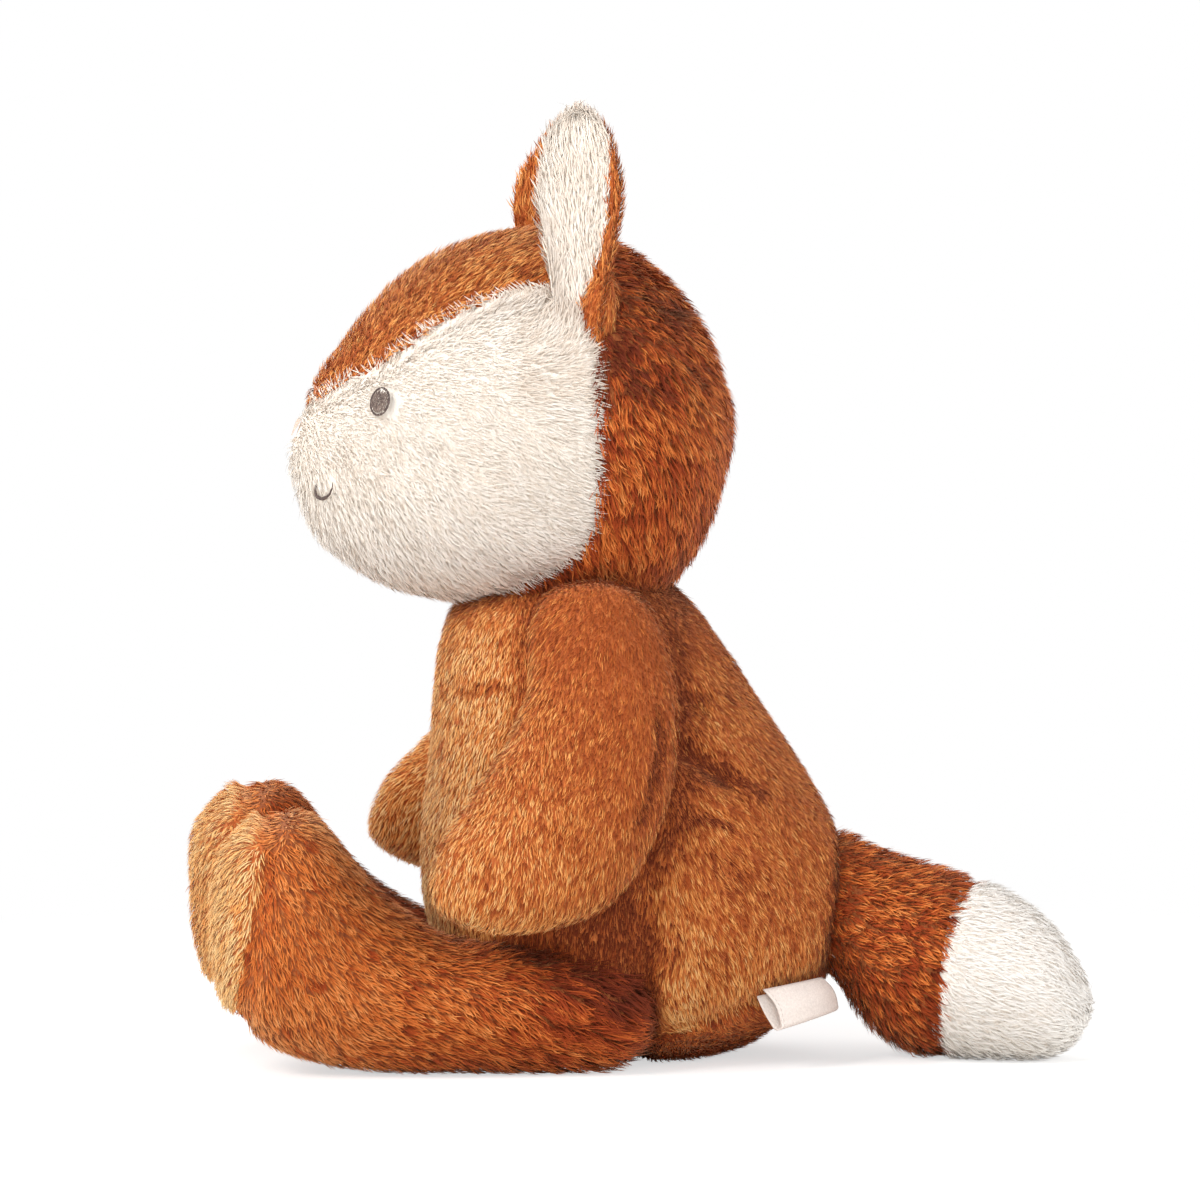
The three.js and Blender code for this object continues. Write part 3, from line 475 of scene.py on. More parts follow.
# the body's middle line and half axes at each height
up, low = body.edges(np.linspace(0.001, 0.999, 500))
order = np.argsort(up[:, 2])
RINGS = [q[order] for q in (up[:, 2], (up[:, 1] + low[:, 1]) / 2,
                            np.abs(up[:, 1] - low[:, 1]) / 2, np.abs(up[:, 0]))]


def clear_of_body(p, gap):
    """Moves points out of the body sideways, so that a gap is left."""
    z, yc, b, a = RINGS
    yc, b, a = (np.interp(p[:, 2], z, q) for q in (yc, b, a))
    need = (a + gap) * np.sqrt(np.clip(1 - ((p[:, 1] - yc) / (b + gap)) ** 2, 0, 1))
    x = np.sign(p[:, 0]) * np.maximum(np.abs(p[:, 0]), need)
    return np.stack([x, p[:, 1], p[:, 2]], 1)


for n, arm in enumerate(arms.values()):
    local = within(arm.points.reshape(-1, 3), arm)
    sink_and_shade = 1.1 * bulge(line_distance(local, ARM_SEAM), 1.1) * (local[:, 0] > 2)
    sink_and_shade *= smooth(spot_distance(local, ARM_SEAM[0]), 3, 20)
    sink_and_shade *= smooth(spot_distance(local, ARM_SEAM[-1]), 0, 14)
    arm.dent(sink_and_shade, 61 + 7 * n, 0.6, 0.3)
    arm.points = clear_of_body(arm.points.reshape(-1, 3), ARM_GAP).reshape(arm.points.shape)
    arm.refresh()


# ---------------------------------------------------------------- which way the pile lies
def outward(p, x, y, z):
    """The direction (x, y, z) for every point, with x pointing away from the middle."""
    d = np.tile(np.array([x, y, z], float), (len(p), 1))
    d[:, 0] *= np.sign(p[:, 0])
    return d


def blend(a, b, share):
    """a where the share is 0, b where it is 1."""
    share = share[:, None]
    return a * (1 - share) + np.array(b, float) * share


def cheek_comb(p, n):
    d = unit(p - np.array([0.0, -92.0, 158.0])) + np.array([0, 0.35, -0.45])
    to_ear = (p - np.array([0.0, EAR_Y - 2, EAR_Z + 12])) * [0, 1, 1]
    d = blend(d, (0, 0.1, 1.6), np.exp(-np.sum(to_ear ** 2, 1) / 13 ** 2))
    # along the blaze the fibres fan up over its edge
    sway = 0.8 * noise(p, 5, 77)[:, None]
    fan = 0.85 * bulge(line_distance(p, BLAZE), 2.2)
    return blend(d, np.array([0, -0.8, 0.5]) + sway * np.array([0, 0.7, 0.5]), fan)


def forehead_comb(p, n):
    return outward(p, 0.25, 1, 0.25) * (1 - 1.8 * bulge(p[:, 1] - HEAD_Y, 9)[:, None])


def head_back_comb(p, n):
    return outward(p, 0.1, 0.3, -1)


def ear_base_comb(p, n):
    return outward(p, 0.05, -0.25, -1)


def leg_comb(p, n):
    y = p[:, 1] + np.where(p[:, 0] < 0, LEG_FORWARD["right"], 0)
    d = blend(outward(p, 0, 0.75, -0.6), (0, 1, -0.12), smooth(-p[:, 2], -22, -6))
    d = blend(d, (0, 0.42, -0.9), smooth(-y, 66, 88))
    d = blend(d, (0, -0.55, -0.8), smooth(-y, 96, 103))
    return blend(d, (0, -1, 0.1), smooth(n[:, 2], 0.45, 0.85) * smooth(-y, 88, 96))


def body_comb(p, n):
    d = outward(p, 0.12, 0, -1)
    d[:, 1] = 0.55 * smooth(p[:, 1], -6, 26)
    return blend(d, unit(p * np.array([1, 1, 0.0])), smooth(-p[:, 2], -16, -4))


def tail_comb(p, n):
    return outward(p, 0, 1, -0.35) @ tail.place[:3, :3].T


def arm_comb(arm):
    def comb(p, n):
        d = outward(p, 0, -0.28, -1)
        d[:, 1] += 0.45 * smooth(within(p, arm)[:, 1], 0, 16)
        return d @ arm.place[:3, :3].T
    return comb


def ear_comb(ear):
    def comb(p, n):
        q = within(p, ear)
        share = np.clip(q[:, 1] / (EAR_W / 2), -1, 1)
        up = outward(p, 0, 0, 1)
        up[:, 1] = share * (0.25 + 0.7 * (share > 0) * (1 - smooth(q[:, 2] / EAR_L, 0.3, 0.75)))
        return up @ ear.place[:3, :3].T
    return comb


# ---------------------------------------------------------------- the pile of each panel
# lift: tilt off the skin's normal at root and tip; dense: strands to a square millimetre
Style = namedtuple("Style", "length width lift dense parts clump pull stray squeeze",
                   defaults=[1.0])
SHORT = Style(2.9, 0.26, (50, 78), 3.1, 2, 1.4, 0.3, 0.12, 0.42)
LONG = Style(4.6, 0.36, (42, 76), 1.9, 3, 3.4, 0.62, 0.2)
SOLE = Style(3.4, 0.34, (40, 74), 2.0, 2, 2.4, 0.4, 0.2)
FACE = Style(3.4, 0.32, (42, 74), 2.3, 2, 2.2, 0.35, 0.2)
CREAM = Style(3.9, 0.32, (50, 78), 2.3, 2, 2.4, 0.22, 0.2)
LINING = Style(4.6, 0.36, (58, 80), 2.6, 3, 2.6, 0.35, 0.2)
EAR_BACK = Style(3.4, 0.34, (50, 76), 2.4, 2, 2.2, 0.3, 0.2)
BASE = Style(2.6, 0.3, (56, 80), 2.6, 2, 1.8, 0.3, 0.15)
LEG = Style(4.3, 0.34, (46, 77), 2.0, 3, 2.9, 0.55, 0.2)

# shade: 0 dark to 1 pale; then how much strands and clumps differ from it at random,
# how much painted shade darkens each clump's edge, how much places differ at random,
# the share of clumps darkened as painted shade in partings, and painted shade to the rear
Tint = namedtuple("Tint", "kind shade spread clumps edge drift flecks rear")
RUST_TINT = Tint("rust", 0.74, 0.22, 0.14, 0.22, 0.08, 0.05, 0.5)
ARM_TINT = RUST_TINT._replace(shade=0.61, rear=0.36)
FACE_TINT = Tint("rust", 0.44, 0.18, 0.12, 0.24, 0.08, 0.05, 0.1)
EAR_TINT = Tint("rust", 0.31, 0.17, 0.12, 0.2, 0.08, 0.05, 0)
DEEP_TINT = Tint("deep", 0.34, 0.16, 0.14, 0.34, 0.12, 0.08, 0)
LEG_TINT = Tint("deep", 0.45, 0.16, 0.14, 0.3, 0.12, 0.06, 0.2)
SOLE_TINTS = {"left": Tint("rust", 0.82, 0.14, 0.12, 0.16, 0.08, 0.02, 0)}
# the far sole is painted darker than the near one: painted shade
SOLE_TINTS["right"] = SOLE_TINTS["left"]._replace(shade=0.74)
CREAM_TINT = Tint("cream", 0.32, 0.16, 0.1, 0.1, 0.08, 0, 0)
LINING_TINT = CREAM_TINT._replace(shade=0.2)
# the tail's tip: the cream painted paler and more even, painted light
LIT_TIP_TINT = CREAM_TINT._replace(shade=0.95, clumps=0.04, edge=0.04)

Row = namedtuple("Row", "name style tint comb node")
Limb = namedtuple("Limb", "form panel body rows")


def row(name, style, tint, comb, node=None):
    """The pile of one panel; its node is the name with _panel, if no other is given."""
    return Row(name, style, tint, comb, node or name + "_panel")


def head_side(sign, y, z):
    """The head's grid point nearest to a place on its side."""
    flat = head.points.reshape(-1, 3)
    flat = flat[flat[:, 0] * sign > 0]
    return flat[np.argmin((flat[:, 1] - y) ** 2 + (flat[:, 2] - z) ** 2)]


limbs = {
    "head": Limb(head, head_panel, "head", [
        row("forehead", FACE, FACE_TINT, forehead_comb),
        *[row(side + "_cheek", CREAM, CREAM_TINT, cheek_comb) for side, _ in SIDES],
        *[row(side + "_head_back", LONG, DEEP_TINT, head_back_comb) for side, _ in SIDES]]),
    "body": Limb(body, body_panel, "body", [
        *[row(name, SHORT, RUST_TINT, body_comb) for name in ("belly", "left_back", "right_back")],
        row("seat", SHORT, DEEP_TINT, body_comb)]),
    "tail": Limb(tail, tail_panel, "tail", [
        row("tail_sleeve", LONG, DEEP_TINT, tail_comb),
        row("tail_tip", CREAM, LIT_TIP_TINT, tail_comb)])}
for side, sign in SIDES:
    arm, leg, ear = (f"{side}_{name}" for name in ("arm", "leg", "ear"))
    limbs[arm] = Limb(arms[side], arm_panel(side), arm, [
        row(arm + end, SHORT, ARM_TINT, arm_comb(arms[side])) for end in ("_outer", "_inner")])
    limbs[leg] = Limb(legs[side], leg_panel(side, sign), leg, [
        *[row(leg + end, LEG, LEG_TINT, leg_comb) for end in ("_outer", "_inner")],
        row(side + "_sole", SOLE, SOLE_TINTS[side], leg_comb)])
    limbs[ear] = Limb(ears[side], ear_panel, ear, [
        row(ear + "_back", EAR_BACK, EAR_TINT, ear_comb(ears[side])),
        row(ear + "_lining", LINING, LINING_TINT, ear_comb(ears[side]), ear + "_lining")])
# the gathered fold at each ear's base belongs to the head's back
for side, sign in SIDES:
    fold = Pillow(head_side(sign, -13.0, 187.5) - np.array([sign * 0.6, 0, 0]),
                  [(0, 1.4, 10.2), (0, 4.0, -0.6), (sign * 3.8, 0, 0)], 24, 24)
    limbs[side + "_ear_base"] = Limb(fold, lambda p, v: np.zeros(len(p), int), "head", [
        row(side + "_ear_base", BASE, EAR_TINT, ear_base_comb, side + "_head_back_panel")])

# Skins that cut away the strands inside them, and skins that shade the pile beside them.
NEIGHBOURS = {"head": ["body", "left_ear_base", "right_ear_base"], "tail": ["body"],
              "body": ["head", "left_leg", "right_leg", "tail"]}
SHADED_BY = {"body": ["head", "left_arm", "right_arm", "left_leg", "right_leg", "tail"],
             "head": ["left_ear", "left_ear_base", "right_ear_base"]}
for side, _ in SIDES:
    NEIGHBOURS |= {side + "_arm": ["body", "head"], side + "_leg": ["body"],
                   side + "_ear": ["head"], side + "_ear_base": ["head"]}
    SHADED_BY[side + "_leg"] = [side + "_arm", "body"]


def rise_of(style):
    """How high the pile stands above its skin."""
    a, b = (math.radians(x) for x in style.lift)
    return style.length * (math.cos(a) + math.cos((a + b) / 2) + math.cos(b)) / 3


# ---------------------------------------------------------------- materials
def linear(rgb):
    """Linear light for a colour given as 0 to 255."""
    return [c / 12.92 if c <= 0.04045 else ((c + 0.055) / 1.055) ** 2.4 for c in
            (c / 255 for c in rgb)]


class Nodes:
    """The node tree of a material or the world, with short calls for the nodes used here."""

    def __init__(self, block, output="ShaderNodeOutputMaterial"):
        block.use_nodes = True
        self.block, self.tree = block, block.node_tree
        self.tree.nodes.clear()
        self.out = self.add(output)

    def add(self, kind, inputs=(), **values):
        """A node: inputs is a dict by number, values are settings or inputs by name."""
        node = self.tree.nodes.new(kind)
        for key, value in values.items():
            if hasattr(node, key):
                setattr(node, key, value)
            else:
                self.feed(node.inputs[key.replace("_", " ")], value)
        for key, value in dict(inputs).items():
            self.feed(node.inputs[key], value)
        return node

    def feed(self, socket, value):
        if isinstance(value, bpy.types.NodeSocket):
            self.tree.links.new(value, socket)
        else:
            socket.default_value = value

    def ramp(self, source, stops):
        """Colours, given as 0 to 255, by the value of a socket."""
        node = self.add("ShaderNodeValToRGB", {0: source})
        ramp = node.color_ramp
        while len(ramp.elements) < len(stops):
            ramp.elements.new(0.5)
        for element, (at, color) in zip(ramp.elements, stops):
            element.position = at
            element.color = (*linear(color), 1)
        return node.outputs[0]

    def speckled(self, stops, bump, scale=None, **noise_values):
        """A colour from fine noise, and the bump that goes with it."""
        place = self.add("ShaderNodeTexCoord").outputs["Object"]
        if scale:
            place = self.add("ShaderNodeMapping", {0: place}, Scale=scale).outputs[0]
        fine = self.add("ShaderNodeTexNoise", Vector=place, **noise_values).outputs[0]
        relief = self.add("ShaderNodeBump", Strength=bump[0], Distance=bump[1], Height=fine)
        return self.ramp(fine, stops), relief.outputs[0]

    def surface(self, **values):
        """Ends a material with a surface shader."""
        return self.end(self.add("ShaderNodeBsdfPrincipled", **values))

    def end(self, shader):
        self.feed(self.out.inputs[0], shader.outputs[0])
        return self.block


def new_material(name):
    return Nodes(bpy.data.materials.new(name))


# Colours of the strands by shade, and how much darker they are towards the root,
# painted shade deep in the pile.
RAMPS = {
    "rust": [(0, (104, 38, 12)), (0.12, (168, 78, 30)), (0.27, (213, 120, 53)),
             (0.5, (240, 165, 90)), (0.75, (250, 197, 125)), (1, (254, 222, 165))],
    "deep": [(0, (104, 36, 12)), (0.12, (164, 66, 25)), (0.27, (201, 97, 39)),
             (0.5, (229, 133, 62)), (0.75, (243, 166, 98)), (1, (250, 198, 142))],
    "cream": [(0, (224, 211, 199)), (0.35, (241, 235, 229)), (0.7, (248, 244, 241)),
              (1, (254, 253, 252))]}
ROOTS = {
    "rust": [(0, (164, 136, 122)), (0.35, (222, 208, 200)), (0.7, (250, 246, 243)),
             (1, (255, 255, 255))],
    "deep": [(0, (150, 120, 106)), (0.35, (214, 198, 190)), (0.7, (250, 246, 243)),
             (1, (255, 255, 255))],
    "cream": [(0, (242, 236, 228)), (0.4, (253, 251, 248)), (1, (255, 255, 255))]}
SHEENS = {"rust": (1.0, 0.72, 0.44, 1), "deep": (1.0, 0.62, 0.36, 1), "cream": (1.0, 0.97, 0.93, 1)}
# The skins under the pile take the colours of its roots: painted shade deep in the pile.
SKINS = {"rust": [(0.3, (150, 68, 28)), (0.55, (194, 102, 46)), (0.75, (220, 138, 74))],
         "cream": [(0.3, (240, 228, 216)), (0.6, (252, 246, 239)), (0.8, (255, 252, 248))]}
SLOTS = {"rust": "rust_plush", "deep": "deep_rust_plush", "cream": "cream_plush"}
DARKER = 0.82
# Threads and fibres: colours at two levels of the noise, its scale and the roughness.
FIBRES = {
    "polyester_fibre": ([(0.35, (226, 224, 218)), (0.65, (250, 249, 246))], 500, 0.95),
    "pouch_weave": ([(0.4, (214, 208, 196)), (0.6, (240, 236, 228))], 1400, 0.9),
    "thread": ([(0.35, (96, 80, 74)), (0.65, (146, 128, 120))], 2500, 0.5),
    "dark_thread": ([(0.35, (64, 50, 48)), (0.65, (104, 86, 82))], 2500, 0.5),
    "pale_thread": ([(0.35, (196, 184, 178)), (0.65, (220, 210, 204))], 2500, 0.5),
    "nose_thread": ([(0.35, (222, 192, 176)), (0.65, (238, 214, 200))], 2500, 0.5),
    "satin_weave": ([(0.35, (222, 211, 205)), (0.65, (238, 228, 222))], 1800, 0.38)}


def pile_material(kind):
    """The strands' colour: U is the shade, V runs from root to tip."""
    m = new_material(kind + "_pile")
    uv = m.add("ShaderNodeUVMap", uv_map="OFBake")
    split = m.add("ShaderNodeSeparateXYZ", {0: uv.outputs[0]})
    color = m.add("ShaderNodeMix", data_type="RGBA", blend_type="MULTIPLY", inputs={
        0: 1.0, 6: m.ramp(split.outputs[0], RAMPS[kind]), 7: m.ramp(split.outputs[1], ROOTS[kind])})
    return m.surface(Base_Color=color.outputs[2], Roughness=0.75, Sheen_Weight=0.3,
                     Sheen_Roughness=0.45, Sheen_Tint=SHEENS[kind], Specular_IOR_Level=0.2)


def skin_material(kind, dark=False):
    """The backing cloth with the roots of the pile, as fine streaks."""
    m = new_material(f"{kind}_plush_{'deep' if dark else 'plain'}")
    stops = [(at, tuple(int(c * DARKER) for c in color)) if dark else (at, color)
             for at, color in SKINS[kind]]
    color, bump = m.speckled(stops, (0.6, 0.0006), (900, 900, 300), Scale=1.0, Detail=3.0,
                             Roughness=0.6)
    return m.surface(Base_Color=color, Roughness=0.95, Normal=bump, Sheen_Weight=0.3,
                     Sheen_Roughness=0.5, Sheen_Tint=SHEENS[kind])


def fibre_material(name, stops, scale, roughness):
    m = new_material(name)
    color, bump = m.speckled(stops, (0.5, 0.0005), Scale=scale, Detail=4.0, Roughness=0.65)
    return m.surface(Base_Color=color, Roughness=roughness, Normal=bump)


MATS = {kind + "_pile": pile_material(kind) for kind in RAMPS}
MATS |= {"rust_skin": skin_material("rust"), "deep_skin": skin_material("rust", True),
         "cream_skin": skin_material("cream")}
MATS |= {name: fibre_material(name, *values) for name, values in FIBRES.items()}
for name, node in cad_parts.items():
    if "stuffing" in name or name == "pellet_pouch":
        node.data.materials.clear()
        node.data.materials.append(
            MATS["pouch_weave" if name == "pellet_pouch" else "polyester_fibre"])


# ---------------------------------------------------------------- meshes
def new_mesh(name, co, loops, totals, mats, face_mats=None, uv=None, normals=None):
    mesh = bpy.data.meshes.new(name)
    mesh.vertices.add(len(co))
    mesh.vertices.foreach_set("co", np.asarray(co, np.float32).ravel() * np.float32(MM))
    mesh.loops.add(len(loops))
    mesh.loops.foreach_set("vertex_index", np.asarray(loops, np.int32))
    mesh.polygons.add(len(totals))
    mesh.polygons.foreach_set("loop_start", np.r_[0, np.cumsum(totals)[:-1]].astype(np.int32))
    for m in mats:
        mesh.materials.append(m)
    if face_mats is not None:
        mesh.polygons.foreach_set("material_index", np.asarray(face_mats, np.int32))
    mesh.polygons.foreach_set("use_smooth", np.ones(len(totals), bool))
    if uv is not None:
        mesh.uv_layers.new(name="OFBake").data.foreach_set("uv", np.asarray(uv, np.float32).ravel())
    mesh.update(calc_edges=True)
    if normals is not None:
        mesh.normals_split_custom_set_from_vertices(np.asarray(normals, np.float32).tolist())
    piece = bpy.data.objects.new(name, mesh)
    bpy.context.scene.collection.objects.link(piece)
    return piece


def dress(piece, body_name, slot, *nodes):
    """Hides the nodes a piece stands in for and puts it on its body; the slot is not used."""
    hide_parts(*nodes)
    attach(piece, body_name)
    return piece


def face_angles(form):
    """The angle round the limb at each face's middle."""
    turn = form.v + math.pi / len(form.v)
    return np.r_[np.tile(turn, form.points.shape[0] - 3), turn, turn]


def grid_faces(form):
    """Corners and sizes of a skin's faces: quads, and a fan at each end."""
    rows, cols = form.points.shape[:2]
    j = np.arange(cols)
    k = (j + 1) % cols
    i = 1 + np.arange(rows - 3)[:, None] * cols
    last = 1 + (rows - 2) * cols
    quads = np.stack([i + j, i + cols + j, i + cols + k, i + k], -1).reshape(-1, 4)
    fans = [np.stack([0 * j, 1 + j, 1 + k], 1), np.stack([0 * j, k - cols, j - cols], 1) + last]
    loops = [faces[:, ::-1 if form.flip else 1].ravel() for faces in (quads, *fans)]
    return np.concatenate(loops), np.r_[np.full(len(quads), 4), np.full(2 * cols, 3)]


SKIN_FLOOR, TIP_FLOOR, FEW_BELOW, FEW_SHARE = 0.7, 0.25, 1.4, 0.3
# how much of the pile's rise the skin lies under the form; the ears are thinner
SKIN_DEPTH, EAR_SKIN_DEPTH = 0.85, 0.1
skins = {}
for key, (form, panel, body_name, rows) in limbs.items():
    shape = form.points.shape[:2]
    which = panel(form.points.reshape(-1, 3), np.tile(form.v, shape[0])).reshape(shape)
    share = EAR_SKIN_DEPTH if "ear" in key else SKIN_DEPTH
    rises = np.array([rise_of(row.style) * share for row in rows])
    form.skin = form.points - form.normals * rises[which][..., None]
    form.skin[..., 2] = np.maximum(form.skin[..., 2], SKIN_FLOOR)
    verts = np.vstack([form.skin[0, :1], form.skin[1:-1].reshape(-1, 3), form.skin[-1, :1]])
    loops, totals = grid_faces(form)
    starts = np.r_[0, np.cumsum(totals)[:-1]]
    centres = np.add.reduceat(verts[loops], starts, axis=0) / totals[:, None]
    piece = new_mesh(key + "_plush", verts, loops, totals,
                     [MATS[row.tint.kind + "_skin"] for row in rows],
                     panel(centres, face_angles(form)))
    dress(piece, body_name, "rust_plush", *[row.node for row in rows])
    skins[key] = BVHTree.FromPolygons([Vector(v) for v in verts],
                                      [f.tolist() for f in np.split(loops, starts[1:])])
    form.box = (verts.min(0), verts.max(0))


def depth_in(key, p, reach=1):
    """How deep points lie inside another skin; below zero outside or far away."""
    low, high = limbs[key].form.box
    out = np.full(len(p), -99.0)
    for n in np.where(np.all((p > low - reach) & (p < high + reach), 1))[0]:
        spot, normal, _, distance = skins[key].find_nearest(p[n])
        if spot is not None:
            out[n] = distance if (Vector(p[n]) - spot).dot(normal) < 0 else -distance
    return out


# ---------------------------------------------------------------- the pile
# How far strands sway off the comb, and over patches of which size.
WIDE_SWAY, WIDE_PATCH, SMALL_SWAY, SMALL_PATCH = 0.26, 14, 0.20, 4.5
ROOT_SINK, WOBBLE, ROLL, MOST_TILT = 0.3, 6, 24, 80
# Stretches of Y over which the thighs get spiky and rough, and of -Y where the feet get smooth.
SPIKY, ROUGH, SMOOTH_FEET, SPIKY_CLUMP = (-52, -14), (-66, -26), (58, 86), 4.6
# the shade's bounds, how dark painted shade makes the partings, how much painted shade each unit of
# sinking or of a neighbour's shadow gives, and half a strand's width in U
DARKEST, PALEST, PARTING_DARKNESS, PAINTED_SHADE_SCALE, HALF_STEP = 0.13, 0.98, 0.22, 0.10, 0.012
# Stretches of Y over which painted shade darkens the pile to the rear, away from the key light.
REAR_SHADE_SPAN, ARM_REAR_SHADE_SPAN = (-36, 34), (-50, 0)
rng = np.random.default_rng(20)


def sample(form, dense):
    """Even random points over the skin: place, normal, angle round it and its sinking."""
    def closed(grid):
        return np.concatenate([grid, grid[:, :1]], 1)
    skin = closed(form.skin)
    a = skin[1:, :-1] - skin[:-1, :-1]
    b = skin[:-1, 1:] - skin[:-1, :-1]
    c = skin[1:, 1:] - skin[1:, :-1]
    area = (np.linalg.norm(np.cross(a, b), axis=-1) / 2
            + np.linalg.norm(np.cross(a, c), axis=-1) / 2)
    travel = np.cumsum(area.ravel())
    total = int(travel[-1] * dense * STRAND_SHARE)
    at = (np.arange(total) + rng.random(total)) / total * travel[-1]
    cell = np.clip(np.searchsorted(travel, at), 0, area.size - 1)
    i, j = np.divmod(cell, area.shape[1])
    s, t = rng.random(total)[:, None], rng.random(total)[:, None]
    angle = (j + t[:, 0]) / area.shape[1] * 2 * math.pi

    def at_cell(grid):
        return ((1 - s) * (1 - t) * grid[i, j] + s * (1 - t) * grid[i + 1, j]
                + (1 - s) * t * grid[i, j + 1] + s * t * grid[i + 1, j + 1])
    sink_and_shade = np.zeros(total)
    if form.crease is not None:
        sink_and_shade = at_cell(closed(form.crease)[..., None])[:, 0]
    return at_cell(skin), unit(at_cell(closed(form.normals))), angle, sink_and_shade


def painted_light_and_shade(name, p, rim, feet):
    """Painted light and shade by where the pile grows, with some places paler or darker."""
    y, z = p[:, 1], p[:, 2]
    # painted rim light on the arm's sides, and the head's painted shadow over its upper part
    if "arm" in name:
        return 0.2 * rim - 0.12 * smooth(z, 55, 85) - 0.2 * smooth(z, 88, 112)
    # the near foot: painted rim light on its sides, a paler foot and a darker thigh
    if "left_leg_" in name:
        return feet * (0.12 + 0.32 * rim) - 0.17 * smooth(y, -64, -30)
    # the far foot: painted rim light, paler foot, darker thigh, and the near foot's painted shadow
    if "right_leg_" in name:
        near_foot_shadow = 0.52 * smooth(p[:, 0], -42, -28) * smooth(y, -98, -90)
        return feet * (0.28 + 0.32 * rim) - 0.17 * smooth(y, -64, -30) - near_foot_shadow
    # paler towards the bottom, with the head's painted shadow at the top
    if name in ("left_back", "right_back"):
        return 0.26 * (1 - smooth(z, 16, 56)) - 0.26 * smooth(z, 88, 114)
    # painted light under the cheeks
    if "cheek" in name:
        return 0.3 * (1 - smooth(z, 122, 158))
    # paler towards the bottom, with the head's painted shadow at the top
    if name == "belly":
        return 0.12 * (1 - smooth(z, 50, 90)) - 0.18 * smooth(z, 96, 116)
    return 0.0


def strand_faces(parts):
    """Corners of one strand's quads and of its tip, for both ways it can turn."""
    steps = 2 * np.arange(parts - 1)[:, None]
    last = 2 * parts - 2
    return [np.r_[(steps + quad).ravel(), last + np.array(tip)] for quad, tip in
            (([0, 1, 3, 2], [0, 1, 2]), ([0, 2, 3, 1], [0, 2, 1]))]


